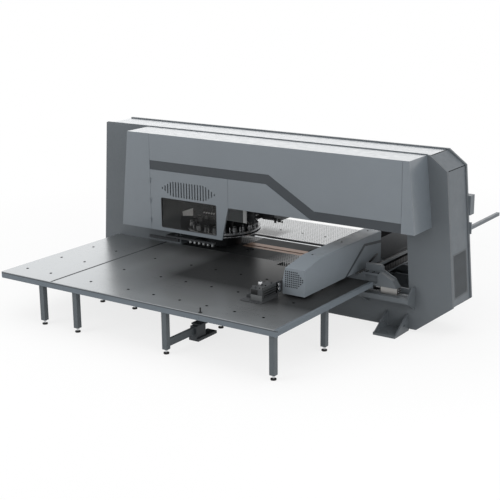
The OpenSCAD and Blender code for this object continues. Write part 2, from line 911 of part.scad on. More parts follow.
module left_end_panel() color(paint)
    slab_y([[x_tl + panel_recess, frame_top - panel_recess - panel_t],
        [x_tl + panel_recess + panel_t, frame_top - panel_recess - panel_t],
        [x_left + panel_recess + panel_t, frame_lift + panel_recess],
        [x_left + panel_recess, frame_lift + panel_recess]], -in_y, in_y);
module throat_liner() color(plate_grey) {
    difference() {
        slab_y(liner_pts, -in_y, in_y);
        for (side = [-1, 1])
            rod_z(guide_mid + side * guide_pitch / 2, blade_y, guide_r + run_gap, throat_top - cut,
                throat_top + liner_t + cut);
    }
    rear_hood();
}
module rear_hood() let (x = -throat_left - hood_over, z = throat_top + hood_over) {
    block([x, half_d, hood_low], [x + panel_t, half_d + hood_d, z]);
    block([x, half_d + hood_d - panel_t, hood_low], [-hood_right, half_d + hood_d, z]);
    block([x, half_d, z - panel_t], [-hood_right, half_d + hood_d, z]);
}

// Feet with an anchor hole each
module foot() {
    difference() {
        block([foot_x - foot_w / 2, -half_d - foot_reach, 0],
            [foot_x + foot_w / 2, foot_under - half_d, frame_lift]);
        rod_z(foot_x, -anchor_y, anchor_r, -cut, frame_lift + cut);
    }
    for (x = [foot_x - foot_w / 2, foot_x + foot_w / 2 - gusset_t]) difference() {
        slab_x([[-half_d - gusset_run, frame_lift], [-half_d, frame_lift],
            [-half_d, frame_lift + gusset_h]], x, x + gusset_t);
        rod_x(-half_d - gusset_run / 3, frame_lift + gusset_h / 3, gusset_hole_r, x - cut,
            x + gusset_t + cut);
    }
}
module foot_brackets() color(plate_grey) both_x() both_y() foot();

// Fittings on the rear plate
function edge_x(z) = x_right - right_lean * (z - z_rc) / (z_tc - z_rc);
module rear_box() color(paint)
    block([edge_x(rear_box_z) + rear_box_over - rear_box_w, half_d, rear_box_z],
        [edge_x(rear_box_z) + rear_box_over, half_d + rear_box_d, rear_box_z + rear_box_h]);
arm_x = edge_x(arm_z + arm_w / 2) + arm_over - arm_w / 2;
module cable_arm() color(paint) {
    difference() {
        block([arm_x - arm_w / 2, half_d + arm_root_t, arm_z],
            [arm_x + arm_w / 2, half_d + arm_len, arm_z + arm_w]);
        block([arm_x - arm_w / 2 + arm_wall, half_d + arm_root_t + arm_wall, arm_z + arm_wall],
            [arm_x + arm_w / 2 - arm_wall, half_d + arm_len + cut, arm_z + arm_w - arm_wall]);
    }
    block([arm_x + arm_w / 2 - arm_root_w, half_d, arm_z + arm_w / 2 - arm_root_h / 2],
        [arm_x + arm_w / 2, half_d + arm_root_t, arm_z + arm_w / 2 + arm_root_h / 2]);
}

// Front cover in pieces that meet at the seams
function cover_lx(z) = -cover_left - cover_flare_share * (frame_top - z);
function cover_rx(z) = cover_right + cover_flare_share * (frame_top - z);
module cover_upper() color(paint) {
    slab_y([[seam - seam_left, stripe_top + seam], [stripe_turn + seam, stripe_top + seam],
        [stripe_turn + stripe_run + seam, stripe_low_top + seam],
        [seam_right - seam, stripe_low_top + seam], [seam_right - seam, frame_top],
        [seam - seam_left, frame_top]], face_y, face_y + cover_t);
    block([-cover_left, face_y, lid_z], [cover_right, -half_d, frame_top]);
}
module hinges() for (i = [0 : 2]) translate([-seam_left, face_y, door_low + hinge_up + i * hinge_pitch])
    children();
module cover_left_end() color(paint) {
    hinges() {
        block([-leaf_w, -leaf_t, 0], [-seam, 0, knuckle_h]);
        rod_z(0, -knuckle_r, knuckle_r, 0, knuckle_h, $fn = small_fn);
        rod_z(0, -knuckle_r, hinge_pin_r, knuckle_h, 2 * knuckle_h, $fn = small_fn);
    }
    slab_y([[cover_lx(door_low), door_low], [-seam_left - seam, door_low],
        [-seam_left - seam, lid_z], [cover_lx(lid_z), lid_z]], face_y, face_y + cover_t);
    slab_y([[cover_lx(door_low), door_low], [cover_lx(door_low) + cover_t, door_low],
        [cover_lx(lid_z) + cover_t, lid_z], [cover_lx(lid_z), lid_z]], face_y, -half_d);
}
module cover_right_end() color(paint) {
    slab_y([[seam_right + seam, cover_low], [cover_rx(cover_low), cover_low],
        [cover_rx(lid_z), lid_z], [seam_right + seam, lid_z]], face_y, face_y + cover_t);
    slab_y([[cover_rx(cover_low) - cover_t, cover_low], [cover_rx(cover_low), cover_low],
        [cover_rx(lid_z), lid_z], [cover_rx(lid_z) - cover_t, lid_z]], face_y, -half_d);
}
module cover_stripe() color(dark_paint)
    slab_y([[-seam_left - stripe_lap, stripe_bot], [stripe_lap - door_right, stripe_bot],
        [stripe_lap - door_right, stripe_bot - stripe_lap],
        [stripe_turn - stripe_shift - stripe_lap, stripe_bot - stripe_lap],
        [stripe_turn + stripe_run - stripe_shift - stripe_lap, cover_low],
        [seam_right + stripe_lap, cover_low], [seam_right + stripe_lap, stripe_low_top + stripe_lap],
        [stripe_turn + stripe_run + stripe_lap, stripe_low_top + stripe_lap],
        [stripe_turn + stripe_lap, stripe_top + stripe_lap], [-seam_left - stripe_lap, stripe_top + stripe_lap]],
        face_y + cover_t, face_y + 2 * cover_t);
module cover_lower() color(paint)
    slab_y([[seam - door_right, cover_low],
        [stripe_turn + stripe_run - stripe_shift - seam_gap, cover_low],
        [stripe_turn - stripe_shift - seam_gap, stripe_bot - seam],
        [seam - door_right, stripe_bot - seam]], face_y, face_y + cover_t);

// Door with window opening and slotted vent
module door_outline(inset, y0, y1)
    slab_y([[seam - seam_left + inset, door_low + inset],
        [-door_right - door_slant - seam - inset, door_low + inset],
        [-door_right - seam - inset, cover_low], [-door_right - seam - inset, stripe_bot - seam - inset],
        [seam - seam_left + inset, stripe_bot - seam - inset]], y0, y1);
module front_door() color(paint) {
    door_pan();
    hinges() difference() {
        union() {
            block([seam, -leaf_t, knuckle_h + slide_gap], [leaf_w, 0, 2 * knuckle_h]);
            rod_z(0, -knuckle_r, knuckle_r, knuckle_h + slide_gap, 2 * knuckle_h, $fn = small_fn);
        }
        rod_z(0, -knuckle_r, hinge_pin_r + run_gap, knuckle_h, 2 * knuckle_h + cut, $fn = small_fn);
    }
}
module door_pan() difference() {
    door_outline(0, face_y, face_y + door_rim);
    door_outline(cover_t, face_y + cover_t, face_y + door_rim + cut);
    block([-win_left, face_y - cut, win_low], [win_right, face_y + cover_t + cut, win_low + win_h]);
    for (i = [0 : door_slots - 1])
        let (pitch = win_w / door_slots, x = (i + 0.5) * pitch,
            h = slot_h * min(1, min(x, win_w - x) / slot_taper))
            block([x - win_left - slot_w / 2, face_y - cut, door_low + slot_mid - h / 2],
                [x - win_left + slot_w / 2, face_y + cover_t + cut, door_low + slot_mid + h / 2]);
}
module door_window() color(tint)
    block([-win_left - pane_lap, face_y + cover_t, win_low - pane_lap],
        [win_right + pane_lap, face_y + cover_t + pane_t, win_low + win_h + pane_lap]);

// Turret discs with a ring of stations
module ring(first, count) for (i = [0 : count - 1])
    translate([-turret_x, 0, 0]) rotate([0, 0, (i + first) * 360 / count]) translate([station_ring, 0, 0])
        children();
module stations_both() {
    ring(0, stations / 2) children(0);
    ring(0.5, stations / 2) children(1);
}
module post(r, z, h) translate([0, 0, z]) cylinder(r = r, h = h, $fn = small_fn);
module grooved_disc(z0, z1) difference() {
    rod_z(-turret_x, 0, turret_r, z0, z1);
    difference() {
        rod_z(-turret_x, 0, turret_r + cut, (z0 + z1 - groove_h) / 2, (z0 + z1 + groove_h) / 2);
        rod_z(-turret_x, 0, turret_r - groove_d, z0 - cut, z1 + cut);
    }
}
module upper_turret() color(steel) {
    grooved_disc(disc_z, holder_z);
    rod_z(-turret_x, 0, drum_r, drum_z, disc_z);
    rod_z(-turret_x, 0, hub_r, holder_z, hub_top);
    rod_z(-turret_x, 0, shaft_r, hub_top, throat_top - bearing_h + shaft_in);
}
module punch_holder(r) {
    post(r, holder_z, holder_h / 3);
    post(r * collar_share, holder_z + holder_h / 3, holder_h * 2 / 3);
    post(r * head_share, holder_z + holder_h, head_h);
}
module punch_holders() color(silver) stations_both() {
    punch_holder(holder_r);
    punch_holder(holder_r * small_share);
}
module upper_bearing() color(dark_steel) difference() {
    rod_z(-turret_x, 0, bearing_r, throat_top - bearing_h, throat_top);
    rod_z(-turret_x, 0, shaft_r + run_gap, throat_top - bearing_h - cut,
        throat_top - bearing_h + shaft_in + hub_gap);
}
module lower_turret() color(steel) {
    grooved_disc(low_disc_z, die_z);
    rod_z(-turret_x, 0, low_hub_r, frame_lift + low_block_h + hub_gap, low_disc_z);
    rod_z(-turret_x, 0, shaft_r, frame_lift + low_block_h - low_shaft_in,
        frame_lift + low_block_h + hub_gap);
}
module die_holder(r) {
    post(r, die_z, die_h * 2 / 3);
    post(r * collar_share, die_z + die_h * 2 / 3, die_h / 3);
}
module die_holders() color(silver) stations_both() {
    die_holder(holder_r);
    die_holder(holder_r * small_share);
}
module lower_bearing() color(dark_steel) difference() {
    block([-turret_x - low_block_w / 2, -in_y, frame_lift],
        [low_block_w / 2 - turret_x, in_y, frame_lift + low_block_h]);
    rod_z(-turret_x, 0, shaft_r + run_gap, frame_lift + low_block_h - low_shaft_in - hub_gap,
        frame_lift + low_block_h + cut);
}

// Striker over the working station
module ram_housing() color(dark_steel) {
    difference() {
        union() {
            block([-ram_left, -ram_d / 2, ram_low], [-ram_box_right, ram_d / 2, throat_top]);
            block([-ram_box_right, ram_set_back - ram_d / 2, ram_low], [-ram_right, ram_d / 2, throat_top]);
        }
        rod_z(station_x, 0, ram_r + run_gap, ram_low - cut, ram_low + ram_bore);
    }
    valve_column();
    slab_y([[-guide_left, guide_low], [guide_right - 2 * guide_chamfer, guide_low],
        [guide_right, guide_low + guide_chamfer], [guide_right, throat_top], [-guide_left, throat_top]],
        shear_front, shear_front + shear_d);
}
module valve_column() difference() {
    block([-ram_right, -column_front, ram_low], [-column_right, -column_back, throat_top]);
    for (i = [0 : column_grooves - 1])
        let (pitch = (throat_top - ram_low) / column_grooves, z = ram_low + (i + 0.5) * pitch) difference() {
            block([-ram_right, -column_front - cut, z - pitch / 4],
                [cut - column_right, cut - column_back, z + pitch / 4]);
            block([-ram_right - cut, column_step - column_front, z - pitch],
                [-column_right - column_step, -column_step - column_back, z + pitch]);
        }
}
module ram() color(silver) rod_z(station_x, 0, ram_r, ram_low - ram_out, ram_low + ram_in);

// Shear head, its blade and the strips it works between
module shear_head() color(dark_steel) {
    block([-shear_left, shear_front, shear_low],
        [-shear_right, shear_front + shear_d, throat_top - shear_gap]);
    for (side = [-1, 1])
        rod_z(guide_mid + side * guide_pitch / 2, blade_y, guide_r, throat_top - shear_gap,
            throat_top - shear_gap + guide_h);
}
module shear_blade() color(silver)
    block([-shear_left, blade_y - blade_t / 2, shear_low - blade_h],
        [-shear_right, blade_y + blade_t / 2, shear_low]);
module strip_pair(z0, z1) {
    block([-strip_left, strip_a - strip_front_w, z0], [strip_right, strip_a, z1]);
    block([-strip_left, strip_b, z0], [strip_right, strip_b + strip_rear_w, z1]);
}
module wear_strips() color(copper) strip_pair(table_top - strip_t, table_top);

// Hold-down in front of the turret
module hold_down_guide() color(dark_steel) {
    block([-hold_left, -half_d - hold_guide_d, hold_z + hold_h - hold_guide_h],
        [hold_arm_w - hold_left, -half_d, hold_z + hold_h]);
    block([-hold_rail_left, -half_d - hold_guide_d, hold_rail_z],
        [-hold_left, -half_d, hold_rail_z + hold_rail_h]);
}
module hold_down_bar() color(black) {
    block([-hold_left, -hold_front, hold_z], [-hold_right, hold_d - hold_front, hold_z + hold_h]);
    block([-hold_left, -hold_front, hold_z],
        [hold_arm_w - hold_left, -half_d - hold_guide_d - slide_gap, hold_z + hold_h]);
}
module hold_down_feet() color(silver) for (i = [0 : hold_feet - 1])
    translate([-hold_right - hold_inset - i * hold_pitch, hold_d / 2 - hold_front, hold_z - hold_foot_h])
        cylinder(r = hold_foot_r, h = hold_foot_h, $fn = small_fn);

// Table sheets
module screw_hole(x, y) translate([x, y, sheet_low - cut])
    cylinder(r = hole_r, h = sheet_t + 2 * cut, $fn = hole_fn);
module table_left() color(dark_steel) difference() {
    block([-table_left_x, -table_front_y, sheet_low],
        [-table_joint - joint_gap / 2, -table_rear_y, table_top]);
    for (row = [0 : 2], col = [0 : 1])
        screw_hole(hole_col - table_left_x + col * hole_col_pitch,
            hole_row - table_front_y + row * hole_row_pitch);
}
module table_main() color(dark_steel) difference() {
    union() {
        block([joint_gap / 2 - table_joint, -table_front_y, sheet_low],
            [table_right_x, -table_rear_y - saddle_slot, table_top]);
        block([joint_gap / 2 - table_joint, -table_front_y, sheet_low],
            [saddle_slot_x, -table_rear_y, table_top]);
        rod_z(pin_x, -pin_y, bush_r, sheet_low - bush_h, sheet_low);
    }
    rod_z(pin_x, -pin_y, pin_r + run_gap, sheet_low - bush_h - cut, table_top + cut);
    for (row = [0 : 2], col = main_cols)
        screw_hole(col - table_joint, hole_row - table_front_y + row * hole_row_pitch);
}
module table_mid() color(dark_steel) difference() {
    union() {
        block([-mid_left, -half_d, table_top - mid_t], [mid_right, mid_back, table_top]);
        both_y() block([hub_gap - notch_right, in_y + hub_gap / 2, sill_z],
            [mid_right, in_y + hub_gap / 2 + mid_bar_d, table_top - mid_t]);
        block([hub_gap - notch_right, mid_bar_y, sill_z], [mid_right, mid_bar_y + mid_bar_d, table_top - mid_t]);
        for (x = [hub_gap - notch_right, saddle_slot_x - hub_gap - mid_bar_d])
            block([x, in_y + hub_gap, sill_z], [x + mid_bar_d, rear_front, table_top - mid_t]);
        block([mid_right - mid_bar_d, mid_bar_y, sill_z], [mid_right, rear_front, table_top - mid_t]);
    }
    strip_pair(table_top - strip_t, table_top + cut);
    block([-strip_left, strip_a - strip_front_w / 2, table_top - strip_t],
        [strip_right, strip_b + strip_rear_w / 2, table_top + cut]);
    block([-shear_left - hub_gap, strip_a, table_top - mid_t - cut],
        [hub_gap - shear_right, strip_b, table_top + cut]);
    block([saddle_slot_x, rear_slot_y, sill_z - cut],
        [mid_right + cut, rear_slot_y + rear_slot_d, table_top + cut]);
    rod_z(station_x, 0, punch_hole_r, table_top - mid_t - cut, table_top + cut);
}
module table_rear() color(silver)
    block([-mid_left, rear_front, sheet_low], [mid_right, rear_back, table_top]);

// Skirts, bars, legs and feet of the tables
module front_skirt() color(paint) difference() {
    union() {
        block([-table_left_x, -table_front_y, sill_z], [table_right_x, skirt_t - table_front_y, sheet_low]);
        block([-table_left_x, -table_front_y, sill_z], [skirt_t - table_left_x, -table_rear_y, sheet_low]);
        block([table_right_x - skirt_t, -table_front_y, sill_z],
            [table_right_x, -table_rear_y - saddle_slot, sheet_low]);
    }
    for (side = [-1, 1])
        block([side * skirt_seam - seam_w / 2, -table_front_y - cut, sill_z - cut],
            [side * skirt_seam + seam_w / 2, seam_w - table_front_y, sheet_low + cut]);
}
module rear_skirt() color(paint) difference() {
    block([-mid_left, rear_front, sill_z], [mid_right, rear_back, sheet_low]);
    block([skirt_t - mid_left, rear_front + skirt_t, sill_z - cut],
        [mid_right - skirt_t, rear_back - skirt_t, sheet_low + cut]);
}
module table_bars() color(plate_grey) {
    for (y = [-bar_front, -leg_back, -bar_rear])
        block([skirt_t - table_left_x, y - bar_w / 2, bar_z],
            [table_right_x - skirt_t, y + bar_w / 2, sheet_low]);
    for (x = table_cols)
        block([x - bar_w / 2, -bar_front, bar_z], [x + bar_w / 2, -bar_rear, sheet_low]);
    for (x = [-leg_a, leg_c])
        block([x - bar_w / 2, -bar_rear - bar_w / 2, bar_z - tie_deep], [x + bar_w / 2, -half_d, bar_z]);
}
module leg(x, y, top) block([x - leg_w / 2, y - leg_w / 2, level_h], [x + leg_w / 2, y + leg_w / 2, top]);
module front_legs() color(plate_grey) for (x = table_cols, y = table_rows) leg(x, y, bar_z);
module rear_legs() color(plate_grey) for (x = rear_cols, y = rear_rows) leg(x, y, sheet_low);
module level_foot(x, y) {
    rod_z(x, y, level_pad_r, 0, level_pad_h, $fn = small_fn);
    rod_z(x, y, level_stem_r, level_pad_h, level_h, $fn = small_fn);
}
module levelling_feet() color(silver) {
    for (x = table_cols, y = table_rows) level_foot(x, y);
    for (x = rear_cols, y = rear_rows) level_foot(x, y);
}
module tie_bar() color(plate_grey)
    block([leg_c - tie_w / 2, leg_w / 2 - leg_front, tie_z], [leg_c + tie_w / 2, -floor_box_y, tie_z + tie_h]);
module floor_box() color(dark_paint)
    let (x0 = leg_c - floor_box_side, x1 = x0 + floor_box_w, y0 = -floor_box_y, hood_z = floor_box_h - pedal_hood_t) {
        block([x0, y0, 0], [x1, y0 + floor_box_d, pedal_base_h]);
        block([x0 + pedal_in, y0, pedal_base_h], [x1 - pedal_in, y0 + pedal_body_d, hood_z]);
        block([x0, y0 + pedal_hood_in, hood_z], [x1, y0 + pedal_hood_in + pedal_hood_d, floor_box_h]);
    }
module gauge_pin() color(silver) rod_z(pin_x, -pin_y, pin_r, table_top - pin_in, table_top + pin_h);

// Shelves, rails and slide blocks under the saddle
module shelf() {
    block([shelf_left, -half_d - shelf_d, shelf_z], [shelf_right, -half_d, shelf_z + shelf_t]);
    for (i = [0 : 3])
        let (x = shelf_left + i * (shelf_right - shelf_left - shelf_gusset_t) / 3)
            slab_x([[-half_d - shelf_d, shelf_z], [-half_d, shelf_z - shelf_gusset_h], [-half_d, shelf_z]],
                x, x + shelf_gusset_t);
    slab_x([[-half_d - shelf_d, shelf_z + shelf_t], [-half_d, shelf_z + shelf_t],
        [-half_d, shelf_z + shelf_t + shelf_end_h],
        [-half_d - shelf_end_top, shelf_z + shelf_t + shelf_end_h]], shelf_right - shelf_gusset_t, shelf_right);
}
module rail_shelves() color(plate_grey) {
    both_y() shelf();
    block([shelf_left, half_d + shelf_d - shelf_guard_t, shelf_z + shelf_t],
        [shelf_right - shelf_gusset_t, half_d + shelf_d, shelf_z + shelf_t + shelf_guard_h]);
}
module x_rails() color(steel) both_y()
    block([shelf_left + xrail_in, -xrail_y - xrail_w / 2, shelf_z + shelf_t],
        [shelf_right - shelf_gusset_t - xrail_in, xrail_w / 2 - xrail_y, rail_top]);
module slide_block(x, len) difference() {
    block([x, -xrail_y - block_w / 2, shelf_z + shelf_t + block_gap],
        [x + len, block_w / 2 - xrail_y, block_top]);
    block([x - cut, -xrail_y - xrail_w / 2 - slide_gap, shelf_z + shelf_t],
        [x + len + cut, xrail_w / 2 - xrail_y + slide_gap, rail_top + slide_gap]);
}
module slide_blocks() color(silver) both_y() {
    slide_block(block_right_x, block_len);
    slide_block(block_left_x, block_left_len);
}

// Saddle castings that carry the beam across the gap in the table
saddle_right = block_right_x + block_len;
module saddle_front() color(plate_grey)
    let (y0 = -xrail_y - saddle_d / 2, y1 = saddle_d / 2 - xrail_y) difference() {
        union() {
            slab_y([[saddle_left, block_top], [saddle_right, block_top],
                [saddle_right - wedge_in, block_top + saddle_tip_h], [wedge_left, wedge_z],
                [wedge_left, saddle_arm_z], [tongue_left, saddle_arm_z], [saddle_rise_x, bridge_z],
                [core_right, bridge_z], [core_right, core_low], [saddle_left, core_low]], y0, y1);
            slab_y([[tongue_left, saddle_arm_z], [tongue_right, saddle_arm_z],
                [tongue_right, tongue_z - pocket_rim], [tongue_right - pocket_rim, tongue_z],
                [tongue_left, tongue_z]], y1 - tongue_d, y1);
        }
        slab_y([[tongue_left + pocket_rim, block_top + pocket_rim],
            [wedge_left - pocket_rim, block_top + pocket_rim],
            [wedge_left - pocket_rim, saddle_arm_z - pocket_rim],
            [tongue_left + pocket_rim, saddle_arm_z - pocket_rim]], y0 - cut, y0 + pocket_d);
    }
module saddle_rear() color(plate_grey)
    slab_y([[saddle_left, block_top], [saddle_right, block_top], [saddle_right, block_top + rear_tip_h],
        [rear_slope_x, bridge_z], [core_right, bridge_z], [core_right, core_low],
        [saddle_left, core_low]], saddle_rear_y, saddle_rear_y + saddle_rear_d);

// Beam, its rails, cover and stripe
module beam_core() color(dark_steel) {
    difference() {
        block([core_left, -core_front, core_low], [core_right, core_back, core_top]);
        block([core_left + core_wall, -core_front - cut, core_low + core_wall],
            [core_right - core_wall, core_back - core_wall, core_top - core_wall]);
    }
    for (i = [0 : 2])
        block([core_left + core_wall, i * post_pitch - post_front, core_top],
            [core_right - core_wall, i * post_pitch - post_front + post_w, beam_top - beam_sheet]);
}
module beam_rails() color(steel) for (z = [rail_z, rail_z + rail_pitch])
    block([core_left - rail_h, rail_in - core_front, z - rail_w / 2],
        [core_left, core_back - rail_in, z + rail_w / 2]);
module beam_section(inset, y0, y1)
    slab_y([[beam_left + inset, beam_low], [beam_left + inset, beam_open_z],
        [beam_left + beam_lean + inset, beam_top - inset], [beam_right - beam_edge, beam_top - inset],
        [beam_right - inset, beam_top - beam_edge - inset], [beam_right - inset, beam_low]], y0, y1);
module bevel_cut(drop)
    let (slope = bevel_drop / bevel_run)
        slab_x([[bevel_run - beam_front, beam_top - drop],
            [bevel_run - beam_front + cut, beam_top - drop + cut * slope],
            [bevel_run - beam_front + cut, beam_top + 2 * cut], [-beam_front - cut, beam_top + 2 * cut],
            [-beam_front - cut, beam_top - drop - bevel_drop - cut * slope]],
            beam_left - cut, beam_right + cut);
module beam_cover() color(paint) difference() {
    beam_section(0, -beam_front, beam_back);
    bevel_cut(0);
    difference() {
        beam_section(beam_sheet, beam_sheet - beam_front, beam_back + cut);
        bevel_cut(beam_sheet);
    }
    block([beam_left - cut, beam_sheet - beam_front, beam_low - cut],
        [beam_left + beam_lean, beam_back + cut, beam_open_z]);
    for (row = [0 : grille_rows - 1], col = [0 : grille_cols - 1])
        rod_y(beam_left + grille_in + col * grille_pitch, beam_low + grille_up + row * grille_pitch,
            grille_r, -beam_front - cut, cut - beam_front, $fn = hole_fn);
}
module beam_band_strip() color(dark_paint)
    slab_x([[-band_foot, beam_low], [beam_band - band_foot, beam_low],
        [beam_band / 2 - band_turn, band_turn_z - band_drop], [beam_back, band_end_z - band_drop],
        [beam_back, band_end_z], [-band_turn, band_turn_z]], beam_right, beam_right + beam_band_t);

// Tray with its cable chain beside the beam
module cable_tray() color(steel) let (y0 = saddle_d / 2 - xrail_y) {
    block([tray_x, y0, bridge_z], [tray_x + tray_t, tray_back, bridge_z + tray_h]);
    block([tray_x, y0, bridge_z], [tray_x + tray_w, tray_back, bridge_z + tray_lip]);
    block([tray_x, y0, bridge_z + tray_h - tray_lip], [tray_x + tray_w, tray_back, bridge_z + tray_h]);
}
module cable_chain() color(black)
    let (y0 = saddle_d / 2 - xrail_y + chain_gap, y1 = tray_back - chain_gap, step = (y1 - y0) / chain_links) {
        block([tray_x + tray_t, y0, bridge_z + tray_lip],
            [tray_x + tray_w - tray_t - chain_rib, y1, bridge_z + tray_h - tray_lip - chain_gap]);
        for (i = [0 : chain_links - 1])
            block([tray_x + tray_t, y0 + i * step, bridge_z + tray_lip],
                [tray_x + tray_w - tray_t, y0 + (i + chain_rib_share) * step,
                    bridge_z + tray_h - tray_lip - chain_gap / 2]);
    }

// Clamp carriage with two clamps
module clamp_carriage() color(dark_steel) {
    carriage_plate();
    for (i = [-1, 1])
        rod_x(-beam_front - cut - 2 * button_r, carriage_low + carriage_h / 2 + i * button_pitch / 2, button_r,
            carriage_x, carriage_x + carriage_t - carriage_step + button_h);
}
module carriage_plate() difference() {
    union() {
        block([carriage_x, -carriage_front, carriage_low],
            [carriage_x + carriage_t, carriage_len - carriage_front, carriage_low + carriage_h]);
        for (y = [-runner_front, runner_pitch - runner_front])
            block([carriage_x, y, rail_z + rail_pitch / 2 - runner_h / 2],
                [core_left - runner_gap, y + runner_len, rail_z + rail_pitch / 2 + runner_h / 2]);
    }
    for (z = [rail_z, rail_z + rail_pitch])
        block([core_left - rail_h - slide_gap, -carriage_front - cut, z - rail_w / 2 - slide_gap],
            [core_left, carriage_len, z + rail_w / 2 + slide_gap]);
    block([carriage_x + carriage_t - carriage_step, -carriage_front - cut, carriage_low - cut],
        [carriage_x + carriage_t + cut, -beam_front - cut, carriage_low + carriage_h + cut]);
}
pivot_x = clamp_left + pivot_in;
pivot_z = upper_low + pivot_up;
module clamp(y0) {
    difference() {
        union() {
            block([clamp_left, y0, jaw_low], [carriage_x, y0 + clamp_len, clamp_top]);
            slab_y([[clamp_left - jaw_reach, jaw_low + jaw_t / 2], [clamp_left - jaw_reach + jaw_t, jaw_low],
                [carriage_x, jaw_low], [carriage_x, jaw_high], [clamp_left - jaw_reach, jaw_high]],
                y0 - jaw_over, y0 + clamp_len);
            rod_z(clamp_left + cap_r + upper_gap, y0 + cap_r + upper_gap, cap_r, clamp_top, clamp_top + cap_h,
                $fn = small_fn);
        }
        block([clamp_left - cut, y0 + clamp_len / 2 - upper_w / 2 - upper_gap, jaw_high],
            [clamp_left + upper_in + upper_gap, y0 + clamp_len / 2 + upper_w / 2 + upper_gap,
                upper_low + upper_root + upper_room]);
    }
    rod_y(pivot_x, pivot_z, pivot_r, y0 + upper_gap, y0 + clamp_len - upper_gap, $fn = small_fn);
}
module front_clamp() color(dark_steel) clamp(-clamp_front);
module rear_clamp() color(dark_steel) clamp(clamp_pitch - clamp_front);
module jaw(y0) difference() {
    slab_y([[clamp_left - jaw_reach, upper_low], [clamp_left + upper_heel, upper_low],
        [clamp_left + upper_in - upper_gap, upper_low + upper_heel / 2],
        [clamp_left + upper_in - upper_gap, upper_low + upper_root - upper_heel / 2],
        [clamp_left + upper_in - upper_heel, upper_low + upper_root],
        [clamp_left, upper_low + upper_root], [clamp_left - jaw_reach, upper_low + upper_tip]],
        y0 + clamp_len / 2 - upper_w / 2, y0 + clamp_len / 2 + upper_w / 2);
    rod_y(pivot_x, pivot_z, pivot_r + run_gap, y0 - cut, y0 + clamp_len + cut, $fn = small_fn);
}
module front_jaw() color(silver) jaw(-clamp_front);
module rear_jaw() color(silver) jaw(clamp_pitch - clamp_front);

front_plate();
rear_plate();
top_panel();
right_end_panel();
left_end_panel();
vent_grille();
throat_liner();
foot_brackets();
rear_box();
cable_arm();
cover_upper();
cover_left_end();
cover_right_end();
cover_stripe();
cover_lower();
front_door();
door_window();
upper_turret();
punch_holders();
upper_bearing();
lower_turret();
die_holders();
lower_bearing();
ram_housing();
ram();
shear_head();
shear_blade();
wear_strips();
hold_down_bar();
hold_down_feet();
hold_down_guide();
table_left();
table_main();
table_mid();
table_rear();
front_skirt();
rear_skirt();
table_bars();
front_legs();
rear_legs();
levelling_feet();
tie_bar();
floor_box();
gauge_pin();
rail_shelves();
x_rails();
slide_blocks();
saddle_front();
saddle_rear();
beam_core();
beam_rails();
beam_cover();
beam_band_strip();
cable_tray();
cable_chain();
clamp_carriage();
front_clamp();
rear_clamp();
front_jaw();
rear_jaw();
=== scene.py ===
import bmesh
import bpy
import math
import numpy as np
from mathutils import Matrix, Vector


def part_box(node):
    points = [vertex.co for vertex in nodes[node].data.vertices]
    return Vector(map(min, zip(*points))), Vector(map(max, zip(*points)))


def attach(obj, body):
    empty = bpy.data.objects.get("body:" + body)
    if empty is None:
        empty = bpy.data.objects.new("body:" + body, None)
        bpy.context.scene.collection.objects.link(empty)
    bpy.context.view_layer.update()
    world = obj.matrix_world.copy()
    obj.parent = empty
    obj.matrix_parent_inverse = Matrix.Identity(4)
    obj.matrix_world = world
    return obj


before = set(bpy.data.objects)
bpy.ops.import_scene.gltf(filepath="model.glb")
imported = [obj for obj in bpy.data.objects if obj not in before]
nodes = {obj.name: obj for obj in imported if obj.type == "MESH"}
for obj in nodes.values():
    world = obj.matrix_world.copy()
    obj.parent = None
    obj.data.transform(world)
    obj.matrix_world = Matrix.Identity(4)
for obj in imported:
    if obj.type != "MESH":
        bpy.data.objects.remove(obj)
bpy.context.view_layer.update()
mm = 0.001


# Steps that the finishes share

def srgb(r, g, b):
    # colour as read off a screen, 0 to 255, to linear light
    c = np.array([r, g, b]) / 255
    lin = np.where(c <= 0.04045, c / 12.92, ((c + 0.055) / 1.055) ** 2.4)
    return (*lin.tolist(), 1.0)


def startFinish(name, fixed):
    # a shader with its constant settings, and the object's own coordinates
    mat = bpy.data.materials.new(name)
    mat.use_nodes = True
    tree = mat.node_tree
    tree.nodes.clear()
    out = tree.nodes.new("ShaderNodeOutputMaterial")
    shader = tree.nodes.new("ShaderNodeBsdfPrincipled")
    tree.links.new(shader.outputs[0], out.inputs[0])
    for key, value in fixed.items():
        shader.inputs[key].default_value = value
    place = tree.nodes.new("ShaderNodeTexCoord").outputs["Object"]
    return mat, tree, shader, place


def feed(tree, shader, key, value):
    tree.links.new(value, shader.inputs[key])


def axisParts(tree, place):
    # x, y and z of the coordinates
    node = tree.nodes.new("ShaderNodeSeparateXYZ")
    tree.links.new(place, node.inputs[0])
    return node.outputs[0], node.outputs[1], node.outputs[2]


def stretched(tree, place, scale):
    # coordinates multiplied per axis, so that grain runs along the small one
    node = tree.nodes.new("ShaderNodeMapping")
    node.inputs["Scale"].default_value = scale
    tree.links.new(place, node.inputs["Vector"])
    return node.outputs[0]


def cloud(tree, place, scale, detail=3.0, rough=0.55):
    node = tree.nodes.new("ShaderNodeTexNoise")
    node.inputs["Scale"].default_value = scale
    node.inputs["Detail"].default_value = detail
    node.inputs["Roughness"].default_value = rough
    tree.links.new(place, node.inputs["Vector"])
    return node.outputs["Fac"]


def spread(tree, value, low, high, start=0.25, end=0.75):
    # a value between start and end becomes one between low and high
    node = tree.nodes.new("ShaderNodeMapRange")
    tree.links.new(value, node.inputs["Value"])
    for key, number in zip(("From Min", "From Max", "To Min", "To Max"), (start, end, low, high)):
        node.inputs[key].default_value = number
    return node.outputs[0]


def ramp(tree, value, edges):
    # 0 at the first edge and 1 at the second
    return spread(tree, value, 0.0, 1.0, *edges)


def swing(tree, value, middle, reach):
    # spread from a little below the middle to a little above it
    return spread(tree, value, middle + reach[0], middle + reach[1])


